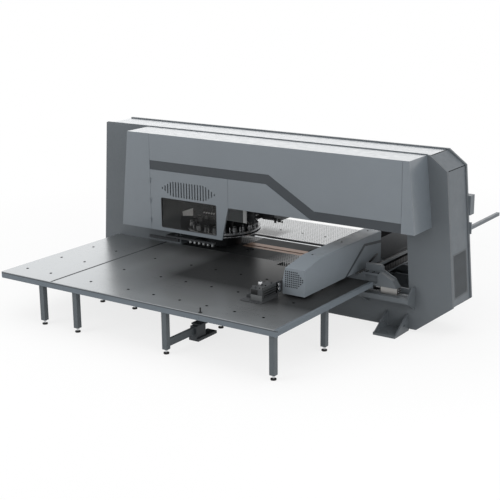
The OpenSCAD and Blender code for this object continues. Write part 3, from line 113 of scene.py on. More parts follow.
def calc(tree, kind, a, b=None):
    node = tree.nodes.new("ShaderNodeMath")
    node.operation = kind
    for slot, item in enumerate((a, b)):
        if item is None:
            continue
        if isinstance(item, (int, float)):
            node.inputs[slot].default_value = item
        else:
            tree.links.new(item, node.inputs[slot])
    return node.outputs[0]


def times(tree, a, b):
    return calc(tree, "MULTIPLY", a, b)


def blended(tree, first, second, shares):
    # sum of two values, each multiplied by its share
    return calc(tree, "ADD", times(tree, first, shares[0]), times(tree, second, shares[1]))


def twoTone(tree, factor, first, second):
    node = tree.nodes.new("ShaderNodeMix")
    node.data_type = "RGBA"
    tree.links.new(factor, node.inputs[0])
    for slot, tone in ((6, first), (7, second)):
        if isinstance(tone, tuple):
            node.inputs[slot].default_value = tone
        else:
            tree.links.new(tone, node.inputs[slot])
    return node.outputs[2]


def shade(tone, factor):
    return (tone[0] * factor, tone[1] * factor, tone[2] * factor, 1.0)


def mottled(tree, factor, tone, shares):
    # one tone, at the first share where the factor is 0 and at the second where it is 1
    return twoTone(tree, factor, shade(tone, shares[0]), shade(tone, shares[1]))


def relief(tree, shader, height, strength, depth):
    node = tree.nodes.new("ShaderNodeBump")
    node.inputs["Strength"].default_value = strength
    node.inputs["Distance"].default_value = depth
    tree.links.new(height, node.inputs["Height"])
    tree.links.new(node.outputs[0], shader.inputs["Normal"])


def dotGrid(tree, place, pitch, openShare):
    # staggered holes: the product of two cosines is high at the holes, drawn out along y by the slot share
    slotShare = 1.7
    x, y, _ = axisParts(tree, place)
    turns = math.pi / pitch
    waveX = calc(tree, "COSINE", times(tree, x, turns))
    waveY = calc(tree, "COSINE", times(tree, y, turns / slotShare))
    return calc(tree, "GREATER_THAN", calc(tree, "ABSOLUTE", times(tree, waveX, waveY)), openShare)


# Finishes used more than once

def sprayedPaint(name, tone, gloss, ior=1.38, coat=0.0):
    # baked paint, some under a clear coat: slow drift of colour, fine orange peel, cloudy gloss
    look = {"drift": (1.3, 4.0), "speck": (260.0, 2.0), "shares": (0.8, 0.2), "tone": (0.90, 1.10),
            "haze": (9.0, 5.0), "gloss": (-0.06, 0.08), "peel": (190.0, 2.0), "relief": (0.10, 0.0006)}
    fixed = {"IOR": ior, "Coat Weight": coat, "Coat Roughness": 0.2}
    mat, tree, shader, place = startFinish(name, fixed)
    drift = cloud(tree, place, *look["drift"])
    speck = cloud(tree, place, *look["speck"])
    mixed = blended(tree, drift, speck, look["shares"])
    feed(tree, shader, "Base Color", mottled(tree, mixed, tone, look["tone"]))
    haze = cloud(tree, place, *look["haze"])
    feed(tree, shader, "Roughness", swing(tree, haze, gloss, look["gloss"]))
    relief(tree, shader, cloud(tree, place, *look["peel"]), *look["relief"])
    return mat


def groundSteel(name, tone, gloss, grain, metal=1.0, ior=1.5):
    # metal with grain lines: noise squeezed along one axis drives colour, gloss and relief
    look = {"lines": (1.0, 4.0, 0.6), "stain": (2.1, 5.0), "shares": (0.55, 0.45), "tone": (0.78, 1.2),
            "gloss": (-0.08, 0.12), "relief": (0.12, 0.0005)}
    mat, tree, shader, place = startFinish(name, {"Metallic": metal, "IOR": ior})
    lines = cloud(tree, stretched(tree, place, grain), *look["lines"])
    stain = cloud(tree, place, *look["stain"])
    mixed = blended(tree, lines, stain, look["shares"])
    feed(tree, shader, "Base Color", mottled(tree, mixed, tone, look["tone"]))
    feed(tree, shader, "Roughness", swing(tree, mixed, gloss, look["gloss"]))
    relief(tree, shader, lines, *look["relief"])
    return mat


def castIron(name, tone, gloss):
    # rough dark casting: slow stains in the colour, fine grit in gloss and relief
    look = {"grit": (120.0, 4.0, 0.65), "stain": (3.0, 4.0), "tone": (0.75, 1.3), "gloss": (-0.08, 0.1),
            "relief": (0.25, 0.001)}
    mat, tree, shader, place = startFinish(name, {"Metallic": 0.35})
    grit = cloud(tree, place, *look["grit"])
    stain = cloud(tree, place, *look["stain"])
    feed(tree, shader, "Base Color", mottled(tree, stain, tone, look["tone"]))
    feed(tree, shader, "Roughness", swing(tree, grit, gloss, look["gloss"]))
    relief(tree, shader, grit, *look["relief"])
    return mat


def splitFinish(name, level, low, high):
    # two finishes parted at one height, each as tone, metal share and gloss
    look = {"grit": (60.0, 4.0), "low": (0.8, 1.2), "high": (0.85, 1.15), "gloss": (-0.05, 0.06),
            "relief": (0.12, 0.0008)}
    mat, tree, shader, place = startFinish(name, {})
    _, _, z = axisParts(tree, place)
    over = calc(tree, "GREATER_THAN", z, level)
    grit = cloud(tree, place, *look["grit"])
    ends = [twoTone(tree, over, shade(low[0], lowShare), shade(high[0], highShare))
            for lowShare, highShare in zip(look["low"], look["high"])]
    feed(tree, shader, "Base Color", twoTone(tree, grit, *ends))
    feed(tree, shader, "Metallic", spread(tree, over, low[1], high[1], 0.0, 1.0))
    gloss = spread(tree, over, low[2], high[2], 0.0, 1.0)
    feed(tree, shader, "Roughness", calc(tree, "ADD", gloss, spread(tree, grit, *look["gloss"])))
    relief(tree, shader, grit, *look["relief"])
    return mat


# Finishes of one piece or one group

def tableSheet(tone):
    # satin sheet with grain along x; two dark fields stand in for the machine mirrored in the sheet,
    # and the metal share falls with the square of their strength
    look = {"grain": (2.0, 160.0, 160.0), "lines": (1.0, 4.0, 0.6), "stain": (1.1, 4.0),
            "shares": (0.7, 0.3), "tone": (0.8, 1.2), "gloss": (0.25, 0.34), "relief": (0.05, 0.0005)}
    field = {"headX": (-1.5, -0.6), "headY": (-3.15, -1.95),
             "clampX": (0.9, 1.5), "clampY": (-3.35, -2.35),
             "metal": (0.86, 0.7), "metalX": (-2.6, -1.4), "darkMetal": 0.06, "darkTone": 0.1}
    mat, tree, shader, place = startFinish("tableSheet", {"IOR": 1.1})
    x, y, _ = axisParts(tree, place)
    lines = cloud(tree, stretched(tree, place, look["grain"]), *look["lines"])
    stain = cloud(tree, place, *look["stain"])
    mixed = blended(tree, lines, stain, look["shares"])
    # painted reflection: two dark fields, one by the head and one by the clamps
    head = times(tree, ramp(tree, x, field["headX"]), ramp(tree, y, field["headY"]))
    clamp = times(tree, ramp(tree, x, field["clampX"]), ramp(tree, y, field["clampY"]))
    dark = calc(tree, "MAXIMUM", head, clamp)
    bare = mottled(tree, mixed, tone, look["tone"])
    feed(tree, shader, "Base Color", twoTone(tree, dark, bare, shade(tone, field["darkTone"])))
    # the metal share is kept only outside the fields of painted reflection
    deep = times(tree, dark, dark)
    metal = spread(tree, x, *field["metal"], *field["metalX"])
    cleanOrUnmirrored = times(tree, metal, calc(tree, "SUBTRACT", 1.0, deep))
    feed(tree, shader, "Metallic", calc(tree, "ADD", cleanOrUnmirrored, times(tree, deep, field["darkMetal"])))
    feed(tree, shader, "Roughness", spread(tree, mixed, *look["gloss"]))
    relief(tree, shader, lines, *look["relief"])
    return mat


def perforatedSheet():
    # light sheet with a staggered grid of holes; a dark field that fades on three sides stands in for
    # the machine mirrored in the sheet
    look = {"stain": (2.4, 4.0), "tone": (0.85, 1.12), "darkTone": 0.12, "metal": 0.5, "holeMetal": 0.4,
            "gloss": (0.14, 0.24), "relief": (0.6, 0.004)}
    sheet = {"tone": srgb(142, 144, 145), "holeTone": srgb(58, 60, 61), "pitch": 0.05, "openShare": 0.56,
             "right": (-0.66, -0.5), "left": (-1.05, -1.25), "back": (1.3, 1.65)}
    mat, tree, shader, place = startFinish("rearSheet", {"IOR": 1.16})
    x, y, _ = axisParts(tree, place)
    holes = dotGrid(tree, place, sheet["pitch"], sheet["openShare"])
    stain = cloud(tree, place, *look["stain"])
    # painted reflection: the dark field fades out to the right, to the left and to the back; outside it the
    # sheet keeps its light tone
    sides = calc(tree, "MAXIMUM", ramp(tree, x, sheet["right"]), ramp(tree, x, sheet["left"]))
    cleanOrUnmirrored = calc(tree, "MAXIMUM", sides, ramp(tree, y, sheet["back"]))
    light = mottled(tree, stain, sheet["tone"], look["tone"])
    solid = twoTone(tree, cleanOrUnmirrored, shade(sheet["tone"], look["darkTone"]), light)
    feed(tree, shader, "Base Color", twoTone(tree, holes, solid, sheet["holeTone"]))
    metal = calc(tree, "SUBTRACT", look["metal"], times(tree, holes, look["holeMetal"]))
    feed(tree, shader, "Metallic", times(tree, metal, cleanOrUnmirrored))
    feed(tree, shader, "Roughness", spread(tree, stain, *look["gloss"]))
    relief(tree, shader, calc(tree, "SUBTRACT", 1.0, holes), *look["relief"])
    return mat


def middleSheet():
    # dark sheet with two perforated fields; the front field is painted shade, dark on the left and lighter
    # to the right, and the rear field is drawn at under half strength as the turret disc's painted shadow
    look = {"stain": (2.1, 5.0), "plain": (srgb(40, 42, 43), srgb(52, 54, 55)),
            "punched": (srgb(176, 177, 178), srgb(70, 71, 72)), "gloss": (0.4, 0.55),
            "relief": (0.5, 0.003)}
    field = {"rearX": -0.72, "rearY": 0.331, "rearShadowShare": 0.45, "frontX": (0.1, 0.6), "frontY": 0.135,
             "pitch": 0.045, "openShare": 0.55}
    mat, tree, shader, place = startFinish("middleSheet", {"IOR": 1.07})
    x, y, _ = axisParts(tree, place)
    # painted shade: the front field fades in from x 0.1 to x 0.6
    front = times(tree, ramp(tree, x, field["frontX"]), calc(tree, "LESS_THAN", y, field["frontY"]))
    # painted shadow of the turret disc: the rear field is drawn only at its share
    behind = times(tree, calc(tree, "GREATER_THAN", y, field["rearY"]), field["rearShadowShare"])
    rear = times(tree, behind, calc(tree, "LESS_THAN", x, field["rearX"]))
    punched = calc(tree, "ADD", front, rear)
    holes = dotGrid(tree, place, field["pitch"], field["openShare"])
    stain = cloud(tree, place, *look["stain"])
    plain = twoTone(tree, stain, *look["plain"])
    feed(tree, shader, "Base Color", twoTone(tree, punched, plain, twoTone(tree, holes, *look["punched"])))
    feed(tree, shader, "Roughness", spread(tree, stain, *look["gloss"]))
    relief(tree, shader, calc(tree, "SUBTRACT", 1.0, times(tree, holes, punched)), *look["relief"])
    return mat


def headPaint():
    # grey box on the left, dark valve stack in the middle, grey guide housing on the right
    zones = {"boxEnd": -0.456, "box": srgb(98, 102, 104), "stackEnd": -0.15, "stack": srgb(56, 58, 61),
             "guide": srgb(128, 131, 133), "grime": srgb(30, 31, 32)}
    look = {"grit": (60.0, 4.0), "cleanOrUnmirrored": (0.0, 0.3), "gloss": (0.42, 0.54), "relief": (0.12, 0.0008)}
    mat, tree, shader, place = startFinish("headPaint", {})
    x, _, _ = axisParts(tree, place)
    grit = cloud(tree, place, *look["grit"])
    pastBox = calc(tree, "GREATER_THAN", x, zones["boxEnd"])
    pastStack = calc(tree, "GREATER_THAN", x, zones["stackEnd"])
    paint = twoTone(tree, pastStack, twoTone(tree, pastBox, zones["box"], zones["stack"]), zones["guide"])
    grime = spread(tree, grit, *look["cleanOrUnmirrored"])
    feed(tree, shader, "Base Color", twoTone(tree, grime, paint, zones["grime"]))
    feed(tree, shader, "Roughness", spread(tree, grit, *look["gloss"]))
    relief(tree, shader, grit, *look["relief"])
    return mat


def discSteel():
    # turned rim with fine rings; the upper disc is dark above its rim, and below the rim, down to the
    # table, it is painted dark as shade
    look = {"grain": (3.0, 3.0, 420.0), "rings": (1.0, 3.0),
            "bare": (srgb(120, 122, 124), srgb(186, 188, 190)), "black": srgb(34, 35, 37),
            "gloss": (0.26, 0.42), "relief": (0.1, 0.0004)}
    level = {"table": 0.8, "rimLow": 1.099, "rimHigh": 1.1785}
    mat, tree, shader, place = startFinish("discSteel", {"Metallic": 0.9})
    _, _, z = axisParts(tree, place)
    rings = cloud(tree, stretched(tree, place, look["grain"]), *look["rings"])
    # painted shade: dark from the table up to the rim
    below = calc(tree, "LESS_THAN", z, level["rimLow"])
    under = times(tree, below, calc(tree, "GREATER_THAN", z, level["table"]))
    dark = calc(tree, "MAXIMUM", under, calc(tree, "GREATER_THAN", z, level["rimHigh"]))
    bare = twoTone(tree, rings, *look["bare"])
    feed(tree, shader, "Base Color", twoTone(tree, dark, bare, look["black"]))
    feed(tree, shader, "Roughness", spread(tree, rings, *look["gloss"]))
    relief(tree, shader, rings, *look["relief"])
    return mat


def meshPanel():
    # fine vent mesh: the sum of two sines, brought to 0 to 1, as colour, gloss and relief
    look = {"pitch": 0.016, "tones": (srgb(66, 70, 73), srgb(92, 97, 101)), "gloss": (0.4, 0.6),
            "relief": (0.4, 0.002)}
    mat, tree, shader, place = startFinish("meshPanel", {"IOR": 1.4})
    _, y, z = axisParts(tree, place)
    turns = 2 * math.pi / look["pitch"]
    waves = [calc(tree, "SINE", times(tree, axis, turns)) for axis in (y, z)]
    net = times(tree, calc(tree, "ADD", calc(tree, "ADD", *waves), 2.0), 0.25)
    feed(tree, shader, "Base Color", twoTone(tree, net, *look["tones"]))
    feed(tree, shader, "Roughness", spread(tree, net, *look["gloss"], 0.0, 1.0))
    relief(tree, shader, net, *look["relief"])
    return mat


def linkPlastic():
    look = {"grit": (300.0, 3.0), "tones": (srgb(10, 10, 11), srgb(22, 22, 24)), "gloss": (0.45, 0.65),
            "relief": (0.15, 0.0008)}
    mat, tree, shader, place = startFinish("linkPlastic", {})
    grit = cloud(tree, place, *look["grit"])
    feed(tree, shader, "Base Color", twoTone(tree, grit, *look["tones"]))
    feed(tree, shader, "Roughness", spread(tree, grit, *look["gloss"]))
    relief(tree, shader, grit, *look["relief"])
    return mat


def tintedPane():
    # lightly tinted clear sheet with faint wiping marks
    look = {"grain": (2.0, 2.0, 9.0), "smear": (1.0, 4.0), "gloss": (0.02, 0.07),
            "tones": (srgb(180, 179, 177), srgb(190, 189, 187))}
    mat, tree, shader, place = startFinish("tintedPane", {"Transmission Weight": 1.0, "IOR": 1.27})
    smear = cloud(tree, stretched(tree, place, look["grain"]), *look["smear"])
    feed(tree, shader, "Base Color", twoTone(tree, smear, *look["tones"]))
    feed(tree, shader, "Roughness", spread(tree, smear, *look["gloss"]))
    return mat


coverTone = srgb(99, 106, 112)
# grain per axis: upright for turned pieces, along x for strips and blocks, along y for rails
grain = {"upright": (90.0, 90.0, 20.0), "strip": (3.0, 220.0, 220.0), "block": (6.0, 200.0, 200.0),
         "rail": (240.0, 6.0, 240.0), "beamRail": (240.0, 4.0, 240.0)}

# paints: tone, gloss, index, coat
coverPaint = sprayedPaint("coverPaint", coverTone, 0.34, 1.45, 0.6)
panelPaint = sprayedPaint("panelPaint", srgb(90, 96, 101), 0.42)
skirtPaint = sprayedPaint("skirtPaint", coverTone, 0.5, 1.1)
beamPaint = sprayedPaint("beamPaint", srgb(118, 125, 131), 0.45, 1.25)
platePaint = sprayedPaint("platePaint", srgb(88, 93, 97), 0.45)
stripePaint = sprayedPaint("stripePaint", srgb(58, 62, 66), 0.5)
legPaint = sprayedPaint("legPaint", srgb(78, 84, 88), 0.45)
trayPaint = sprayedPaint("trayPaint", srgb(40, 41, 43), 0.5, 1.12)
paleSheet = sprayedPaint("paleSheet", srgb(206, 208, 209), 0.4)
lampSheet = sprayedPaint("lampSheet", srgb(240, 241, 241), 0.4)
facePaint = sprayedPaint("facePaint", srgb(88, 90, 91), 0.45)
mattBlack = sprayedPaint("mattBlack", srgb(14, 14, 15), 0.8, 1.05)
lineGrey = sprayedPaint("lineGrey", srgb(72, 74, 76), 0.6, 1.1)

# ground metals: tone, gloss, grain, metal share, index
railSteel = groundSteel("railSteel", srgb(172, 174, 176), 0.28, grain["rail"])
beamRailSteel = groundSteel("beamRailSteel", srgb(176, 178, 180), 0.28, grain["beamRail"])
brightSteel = groundSteel("brightSteel", srgb(205, 206, 208), 0.22, grain["upright"])
holderSteel = groundSteel("holderSteel", srgb(158, 160, 162), 0.26, grain["upright"])
jawSteel = groundSteel("jawSteel", srgb(92, 94, 96), 0.42, grain["upright"])
blockSteel = groundSteel("blockSteel", srgb(158, 157, 155), 0.35, grain["block"])
wearCopper = groundSteel("wearCopper", srgb(141, 118, 104), 0.38, grain["strip"], 0.15, 1.1)

# castings: tone, gloss
darkCasting = castIron("darkCasting", srgb(56, 58, 61), 0.5)
clampCasting = castIron("clampCasting", srgb(72, 74, 76), 0.5)
blackSteel = castIron("blackSteel", srgb(26, 27, 28), 0.42)

# two finishes on one piece: height, then tone, metal share and gloss below and above it
# the hold-down feet are black below 962 mm as painted shade, so that their low ends merge with the dark
# under the door
footFinish = splitFinish("footFinish", 0.962,
                         (srgb(30, 31, 32), 0.0, 0.7), (srgb(200, 202, 203), 1.0, 0.25))
levelFinish = splitFinish("levelFinish", 0.022,
                          (srgb(18, 18, 19), 0.0, 0.6), (srgb(200, 201, 203), 1.0, 0.25))

tableSteel = tableSheet(srgb(152, 155, 157))
middleTable = middleSheet()
rearSheet = perforatedSheet()
strikerPaint = headPaint()
turretSteel = discSteel()
ventMesh = meshPanel()
chainPlastic = linkPlastic()
paneTint = tintedPane()

dressing = {
    coverPaint: ["cover_upper", "cover_left_end", "cover_right_end", "cover_lower", "front_door",
                 "top_panel"],
    panelPaint: ["right_end_panel", "left_end_panel", "rear_box", "cable_arm"],
    skirtPaint: ["front_skirt", "rear_skirt"],
    beamPaint: ["beam_cover"],
    platePaint: ["front_plate", "rear_plate", "throat_liner", "foot_brackets", "rail_shelves",
                 "saddle_front", "saddle_rear"],
    legPaint: ["front_legs", "rear_legs", "table_bars", "tie_bar"],
    stripePaint: ["cover_stripe", "beam_band_strip", "floor_box"],
    ventMesh: ["vent_grille"],
    paneTint: ["door_window"],
    tableSteel: ["table_left", "table_main"],
    middleTable: ["table_mid"],
    rearSheet: ["table_rear"],
    railSteel: ["x_rails"],
    beamRailSteel: ["beam_rails"],
    trayPaint: ["cable_tray"],
    turretSteel: ["upper_turret", "lower_turret"],
    holderSteel: ["punch_holders", "shear_blade"],
    blockSteel: ["slide_blocks"],
    brightSteel: ["die_holders", "ram"],
    levelFinish: ["levelling_feet"],
    jawSteel: ["front_jaw", "rear_jaw"],
    footFinish: ["hold_down_feet"],
    blackSteel: ["gauge_pin"],
    strikerPaint: ["ram_housing"],
    darkCasting: ["upper_bearing", "lower_bearing", "shear_head", "hold_down_guide", "hold_down_bar",
                  "beam_core"],
    clampCasting: ["clamp_carriage", "front_clamp", "rear_clamp"],
    wearCopper: ["wear_strips"],
    chainPlastic: ["cable_chain"],
}
for finish, names in dressing.items():
    for name in names:
        nodes[name].data.materials.clear()
        nodes[name].data.materials.append(finish)
print("finishes on", sum(len(names) for names in dressing.values()), "nodes")


# Surfaces on grids, in metres, from lengths given in millimetres

def turned(profile, sides):
    # revolved profile: the point (r, h) at angle a is (r cos a, r sin a, h)
    r, h = np.array(profile, float).T[:, :, None] * mm
    a = np.arange(sides) * (2 * np.pi / sides) + np.pi / sides
    return np.stack([r * np.cos(a), r * np.sin(a), h + 0 * a], -1)


def softBox(low, high, r):
    # box with rounded edges: each corner of the inner box plus r times the normal of a ball,
    # the ball's grid being cut at its quarters so that the flats open between them
    steps = 3
    low, high = np.array(low, float) * mm, np.array(high, float) * mm
    mid, half = (low + high) / 2, (high - low) / 2 - r * mm
    quarter = np.linspace(0, np.pi / 2, steps)
    a = np.concatenate([quarter + k * np.pi / 2 for k in range(4)])
    sideX = np.repeat([1, -1, -1, 1], steps)
    sideY = np.repeat([1, 1, -1, -1], steps)
    b = np.concatenate([quarter - np.pi / 2, quarter])[:, None]
    sideZ = np.repeat([-1, 1], steps)[:, None]
    ball = np.stack([np.cos(b) * np.cos(a), np.cos(b) * np.sin(a), np.sin(b) + 0 * a], -1)
    inner = np.stack([half[0] * sideX + 0 * b, half[1] * sideY + 0 * b, half[2] * sideZ + 0 * a], -1)
    shell = mid + inner + ball * r * mm
    caps = [np.broadcast_to(shell[k].mean(0), shell[k].shape)[None] for k in (0, -1)]
    return np.concatenate([caps[0], shell, caps[1]])


def tube(path, r, sides):
    # round section carried along a path: the centre plus r (n cos a + b sin a), closed at both ends;
    # n is square to the path and to a guide that the path never follows
    guides = {"level": (0.31, 0.17, 0.93), "steep": (0.93, 0.31, 0.17), "limit": 0.9}
    path = np.array(path, float) * mm
    run = np.gradient(path, axis=0)
    run /= np.linalg.norm(run, axis=1, keepdims=True)
    kind = "level" if abs(run[:, 2]).max() < guides["limit"] else "steep"
    n = np.cross(run, np.array(guides[kind]))
    n /= np.linalg.norm(n, axis=1, keepdims=True)
    b = np.cross(run, n)
    a = np.arange(sides) * (2 * np.pi / sides)
    size = np.broadcast_to(np.asarray(r, float) * mm, len(path))[:, None, None]
    ring = n[:, None] * np.cos(a)[:, None] + b[:, None] * np.sin(a)[:, None]
    skin = path[:, None] + size * ring
    ends = [np.broadcast_to(path[k], skin[k].shape)[None] for k in (0, -1)]
    return np.concatenate([ends[0], skin, ends[1]])


def quadPlate(corners, thick):
    # plate between four corners, named anticlockwise from the front: the corners and their copies moved
    # back, closed by their middles
    front = np.array(corners[::-1], float) * mm
    back = front + np.array([0.0, thick * mm, 0.0])
    middles = [np.broadcast_to(face.mean(0), face.shape) for face in (front, back)]
    return np.stack([middles[0], front, back, middles[1]])


def placed(grid, spots, facing="+z"):
    # one copy of the grid at each spot, its own z turned to the facing given
    x, y, z = np.moveaxis(grid, -1, 0)
    turns = {"+z": (x, y, z), "+x": (z, y, -x), "-y": (x, -z, y)}
    return np.stack(turns[facing], -1)[None] + np.array(spots, float)[:, None, None, :] * mm


def raisePiece(name, grids, finish, body, sharpAngle=32.0):
    # quads of each grid, wrapped in the second direction; equal points are merged at poles
    samePoint = 1e-6
    grids = np.asarray(grids)
    if grids.ndim == 3:
        grids = grids[None]
    copies, rows, cols = grids.shape[:3]
    i, j = np.meshgrid(np.arange(rows - 1), np.arange(cols), indexing="ij")
    k = (j + 1) % cols
    quads = np.stack([i * cols + j, i * cols + k, (i + 1) * cols + k, (i + 1) * cols + j], -1)
    starts = (np.arange(copies) * rows * cols)[:, None, None]
    quads = (quads.reshape(-1, 4)[None] + starts).reshape(-1, 4)
    mesh = bpy.data.meshes.new(name)
    mesh.from_pydata(grids.reshape(-1, 3), [], quads)
    shell = bmesh.new()
    shell.from_mesh(mesh)
    bmesh.ops.remove_doubles(shell, verts=shell.verts, dist=samePoint)
    shell.to_mesh(mesh)
    shell.free()
    mesh.shade_smooth()
    mesh.set_sharp_from_angle(angle=math.radians(sharpAngle))
    mesh.materials.append(finish)
    piece = bpy.data.objects.new(name, mesh)
    bpy.context.scene.collection.objects.link(piece)
    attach(piece, body)


def setTurned(name, fastener, spots, finish, body, facing="+z"):
    # a turned piece, given as profile and number of sides, at each spot
    raisePiece(name, placed(turned(*fastener), spots, facing), finish, body)


def setBoxes(name, spans, r, finish, body):
    # a box with rounded edges for each pair of corners
    raisePiece(name, np.stack([softBox(low, high, r) for low, high in spans]), finish, body)


def grid2(xs, ys, z):
    # every pair of the two rows of numbers at one height
    return [(x, y, z) for x in xs for y in ys]


# Fasteners, each as profile and number of sides

holePlug = ([(0, -9), (13.8, -9), (13.8, 0), (23, 0), (23, 1.8), (21, 3.0), (8, 3.2), (8, -2), (0, -2)], 16)
rearPlug = ([(0, 0), (20, 0), (20, 2), (18, 4), (0, 4.2)], 16)
railPlug = ([(0, 0), (9, 0), (8.6, 0.8), (0, 0.8)], 12)
grillePlug = ([(0, -4), (9.6, -4), (9.6, 0), (12, 0), (11.4, 0.7), (0, 0.7)], 10)
capScrew = ([(0, 0), (11, 0), (11, 10.6), (9.8, 12), (5.4, 12), (5.4, 6), (0, 6)], 14)
domeScrew = ([(0, 0), (16, 0), (15, 4), (11, 7), (5, 8.6), (0, 9)], 14)
hexNut = ([(0, 0), (27, 0), (29, 2), (29, 18), (27, 20), (0, 20)], 6)
washer = ([(0, 0), (34, 0), (35, 1), (35, 3), (34, 4), (0, 4)], 24)
fitting = ([(0, 0), (16, 0), (16, 12), (11, 14), (11, 30), (8, 33), (0, 33)], 12)
liftPin = ([(0, 0), (15, 0), (15, 16), (10, 18), (10, 92), (8, 95), (0, 95)], 14)
gaugeRing = ([(12.6, 0), (32, 0), (32, 3), (30, 5), (12.6, 5), (12.6, 0)], 24)
rodCollar = ([(0, 0), (44, 0), (46, 2), (46, 30), (44, 32), (0, 32)], 28)
pressureCap = ([(0, -34), (27, -34), (27, -20), (35, -18), (35, 26), (31, 33), (14, 35), (0, 35)], 28)
cylinderCap = ([(0, -16), (32.5, -16), (32.5, 6), (29, 10), (12, 12), (0, 12.5)], 28)


# Tables, skirt and front plate

rearTable = {"plugs": (-1295, -799, -303, 193, 689, 1185, 1681), "rows": (1505,), "top": 800, "round": 1,
             "edge": ((-1736, 822, 795), (2246, 858, 801)),
             "gap": ((-1736, 906, 795), (2246, 984, 801.4)),
             "bridge": ((-1736, 982, 794), (2246, 1068, 801))}
rearSpots = grid2(rearTable["plugs"], rearTable["rows"], rearTable["top"])
setTurned("rearPlugs", rearPlug, rearSpots, mattBlack, "frame")
setBoxes("rearEdge", [rearTable["edge"]], rearTable["round"], railSteel, "frame")
setBoxes("rearGap", [rearTable["gap"]], rearTable["round"], mattBlack, "frame")
setBoxes("rearBridge", [rearTable["bridge"]], rearTable["round"], rearSheet, "frame")

table = {"cols": (-2990, -2445, -1545, -750, -232, 286, 804, 1322, 1840), "rows": (-3045, -2218, -1391),
         "top": 800}
setTurned("tablePlugs", holePlug, grid2(table["cols"], table["rows"], table["top"]), mattBlack, "frame")

rims = {"joint": ((-2115, -3396.5, 796), (-2075, -386, 800.5)),
        "front": ((-3230, -3416.5, 773), (2327.5, -3404.5, 786)),
        "flange": ((2268.5, -3415.5, 789), (2328.5, -590, 800.4)), "round": 0.4}
setBoxes("tableLines", [rims["joint"], rims["front"]], rims["round"], lineGrey, "frame")
setBoxes("tableFlange", [rims["flange"]], rims["round"], skirtPaint, "frame")

# lip that carries the skirt's lower edge down
skirtLip = {"left": -3230, "right": 2329, "front": -3415.5, "back": -3408.5, "drop": 24, "lap": 2,
            "round": 1.5}
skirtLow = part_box("front_skirt")[0][2] / mm
skirtSpan = ((skirtLip["left"], skirtLip["front"], skirtLow - skirtLip["drop"]),
             (skirtLip["right"], skirtLip["back"], skirtLow + skirtLip["lap"]))
setBoxes("skirtLip", [skirtSpan], skirtLip["round"], skirtPaint, "frame")

# lip that carries the front plate's top edge up
plateLip = {"span": ((-3416, -377, 2915), (3118, -367, 2934)), "round": 1.5}
setBoxes("plateLip", [plateLip["span"]], plateLip["round"], platePaint, "frame")

gauge = {"spot": (914, -3352, 800)}
setTurned("gaugeCollar", gaugeRing, [gauge["spot"]], blackSteel, "frame")

feet = {"cols": (-2362, -1623, 222, 2197), "rows": (-3328, -1892), "rearCols": (-1600, 2110),
        "rearRows": (1193, 2161), "nut": 53, "washer": 20}
for name, fastener, level, finish in (("levelNuts", hexNut, feet["nut"], brightSteel),
                                      ("levelWashers", washer, feet["washer"], blackSteel)):
    footSpots = grid2(feet["cols"], feet["rows"], level) + grid2(feet["rearCols"], feet["rearRows"], level)
    setTurned(name, fastener, footSpots, finish, "frame")

rails = {"first": 545, "pitch": 150, "count": 16, "sides": (-490, 490), "top": 650}
railCols = [rails["first"] + k * rails["pitch"] for k in range(rails["count"])]
setTurned("railPlugs", railPlug, grid2(railCols, rails["sides"], rails["top"]), blackSteel, "frame")


# Beam cover

beamTop = {"cols": (1712,), "rows": (-1463, -543, 343), "top": 1370}
beamSpots = grid2(beamTop["cols"], beamTop["rows"], beamTop["top"])
setTurned("beamScrews", domeScrew, beamSpots, blackSteel, "saddle")

# each span is a column's first row and the row after its last
grille = {"x": 1567, "z": 974, "pitch": 34, "face": -2014,
          "spans": ((0, 8),) * 7 + ((1, 7), (2, 6), (3, 5))}
grilleSpots = [(grille["x"] + col * grille["pitch"], grille["face"], grille["z"] + row * grille["pitch"])
               for col, (low, high) in enumerate(grille["spans"]) for row in range(low, high)]
setTurned("grillePlugs", grillePlug, grilleSpots, mattBlack, "saddle", "-y")


# Frame

def weldBead(start, end):
    # bead along a joint: a tube whose radius swells once per ripple
    bead = {"steps": 49, "radius": 6.5, "swell": 1.2, "ripple": 14.0, "sides": 8}
    start, end = np.array(start, float), np.array(end, float)
    length = np.linalg.norm(end - start)
    t = np.linspace(0, 1, bead["steps"])[:, None]
    phase = np.arange(bead["steps"]) * length / (bead["steps"] - 1) / bead["ripple"] * 2 * np.pi
    radius = bead["radius"] + bead["swell"] * np.sin(phase)
    return tube(start * (1 - t) + end * t, radius, bead["sides"])


brackets = {"middle": 2671, "webs": (-168, 168), "face": 378, "run": 382, "floor": 45, "top": 270,
            "sharp": 80.0}
beads = []
for sx in (-1, 1):
    for sy in (-1, 1):
        for web in brackets["webs"]:
            x = sx * (brackets["middle"] + web)
            y = sy * brackets["face"]
            corner = (x, y, brackets["floor"])
            beads.append(weldBead(corner, (x, y, brackets["top"])))
            beads.append(weldBead(corner, (x, y + sy * brackets["run"], brackets["floor"])))
raisePiece("bracketWelds", np.stack(beads), platePaint, "frame", brackets["sharp"])

# black strips along the two bends of the end panel
bends = {"spots": ((3131, 2901), (3438.5, 2679)), "half": 6, "proud": 2.2, "reach": 326, "round": 1}
bendSpans = [((x - bends["half"], -bends["reach"], z - bends["half"]),
              (x + bends["half"], bends["reach"], z + bends["proud"])) for x, z in bends["spots"]]
setBoxes("bendStrips", bendSpans, bends["round"], mattBlack, "frame")


# Door

pane = {"left": -1683, "right": -497, "low": 1275, "high": 1796, "face": -996, "seal": 7, "corner": 16,
        "steps": 6, "sides": 10, "sharp": 60.0}


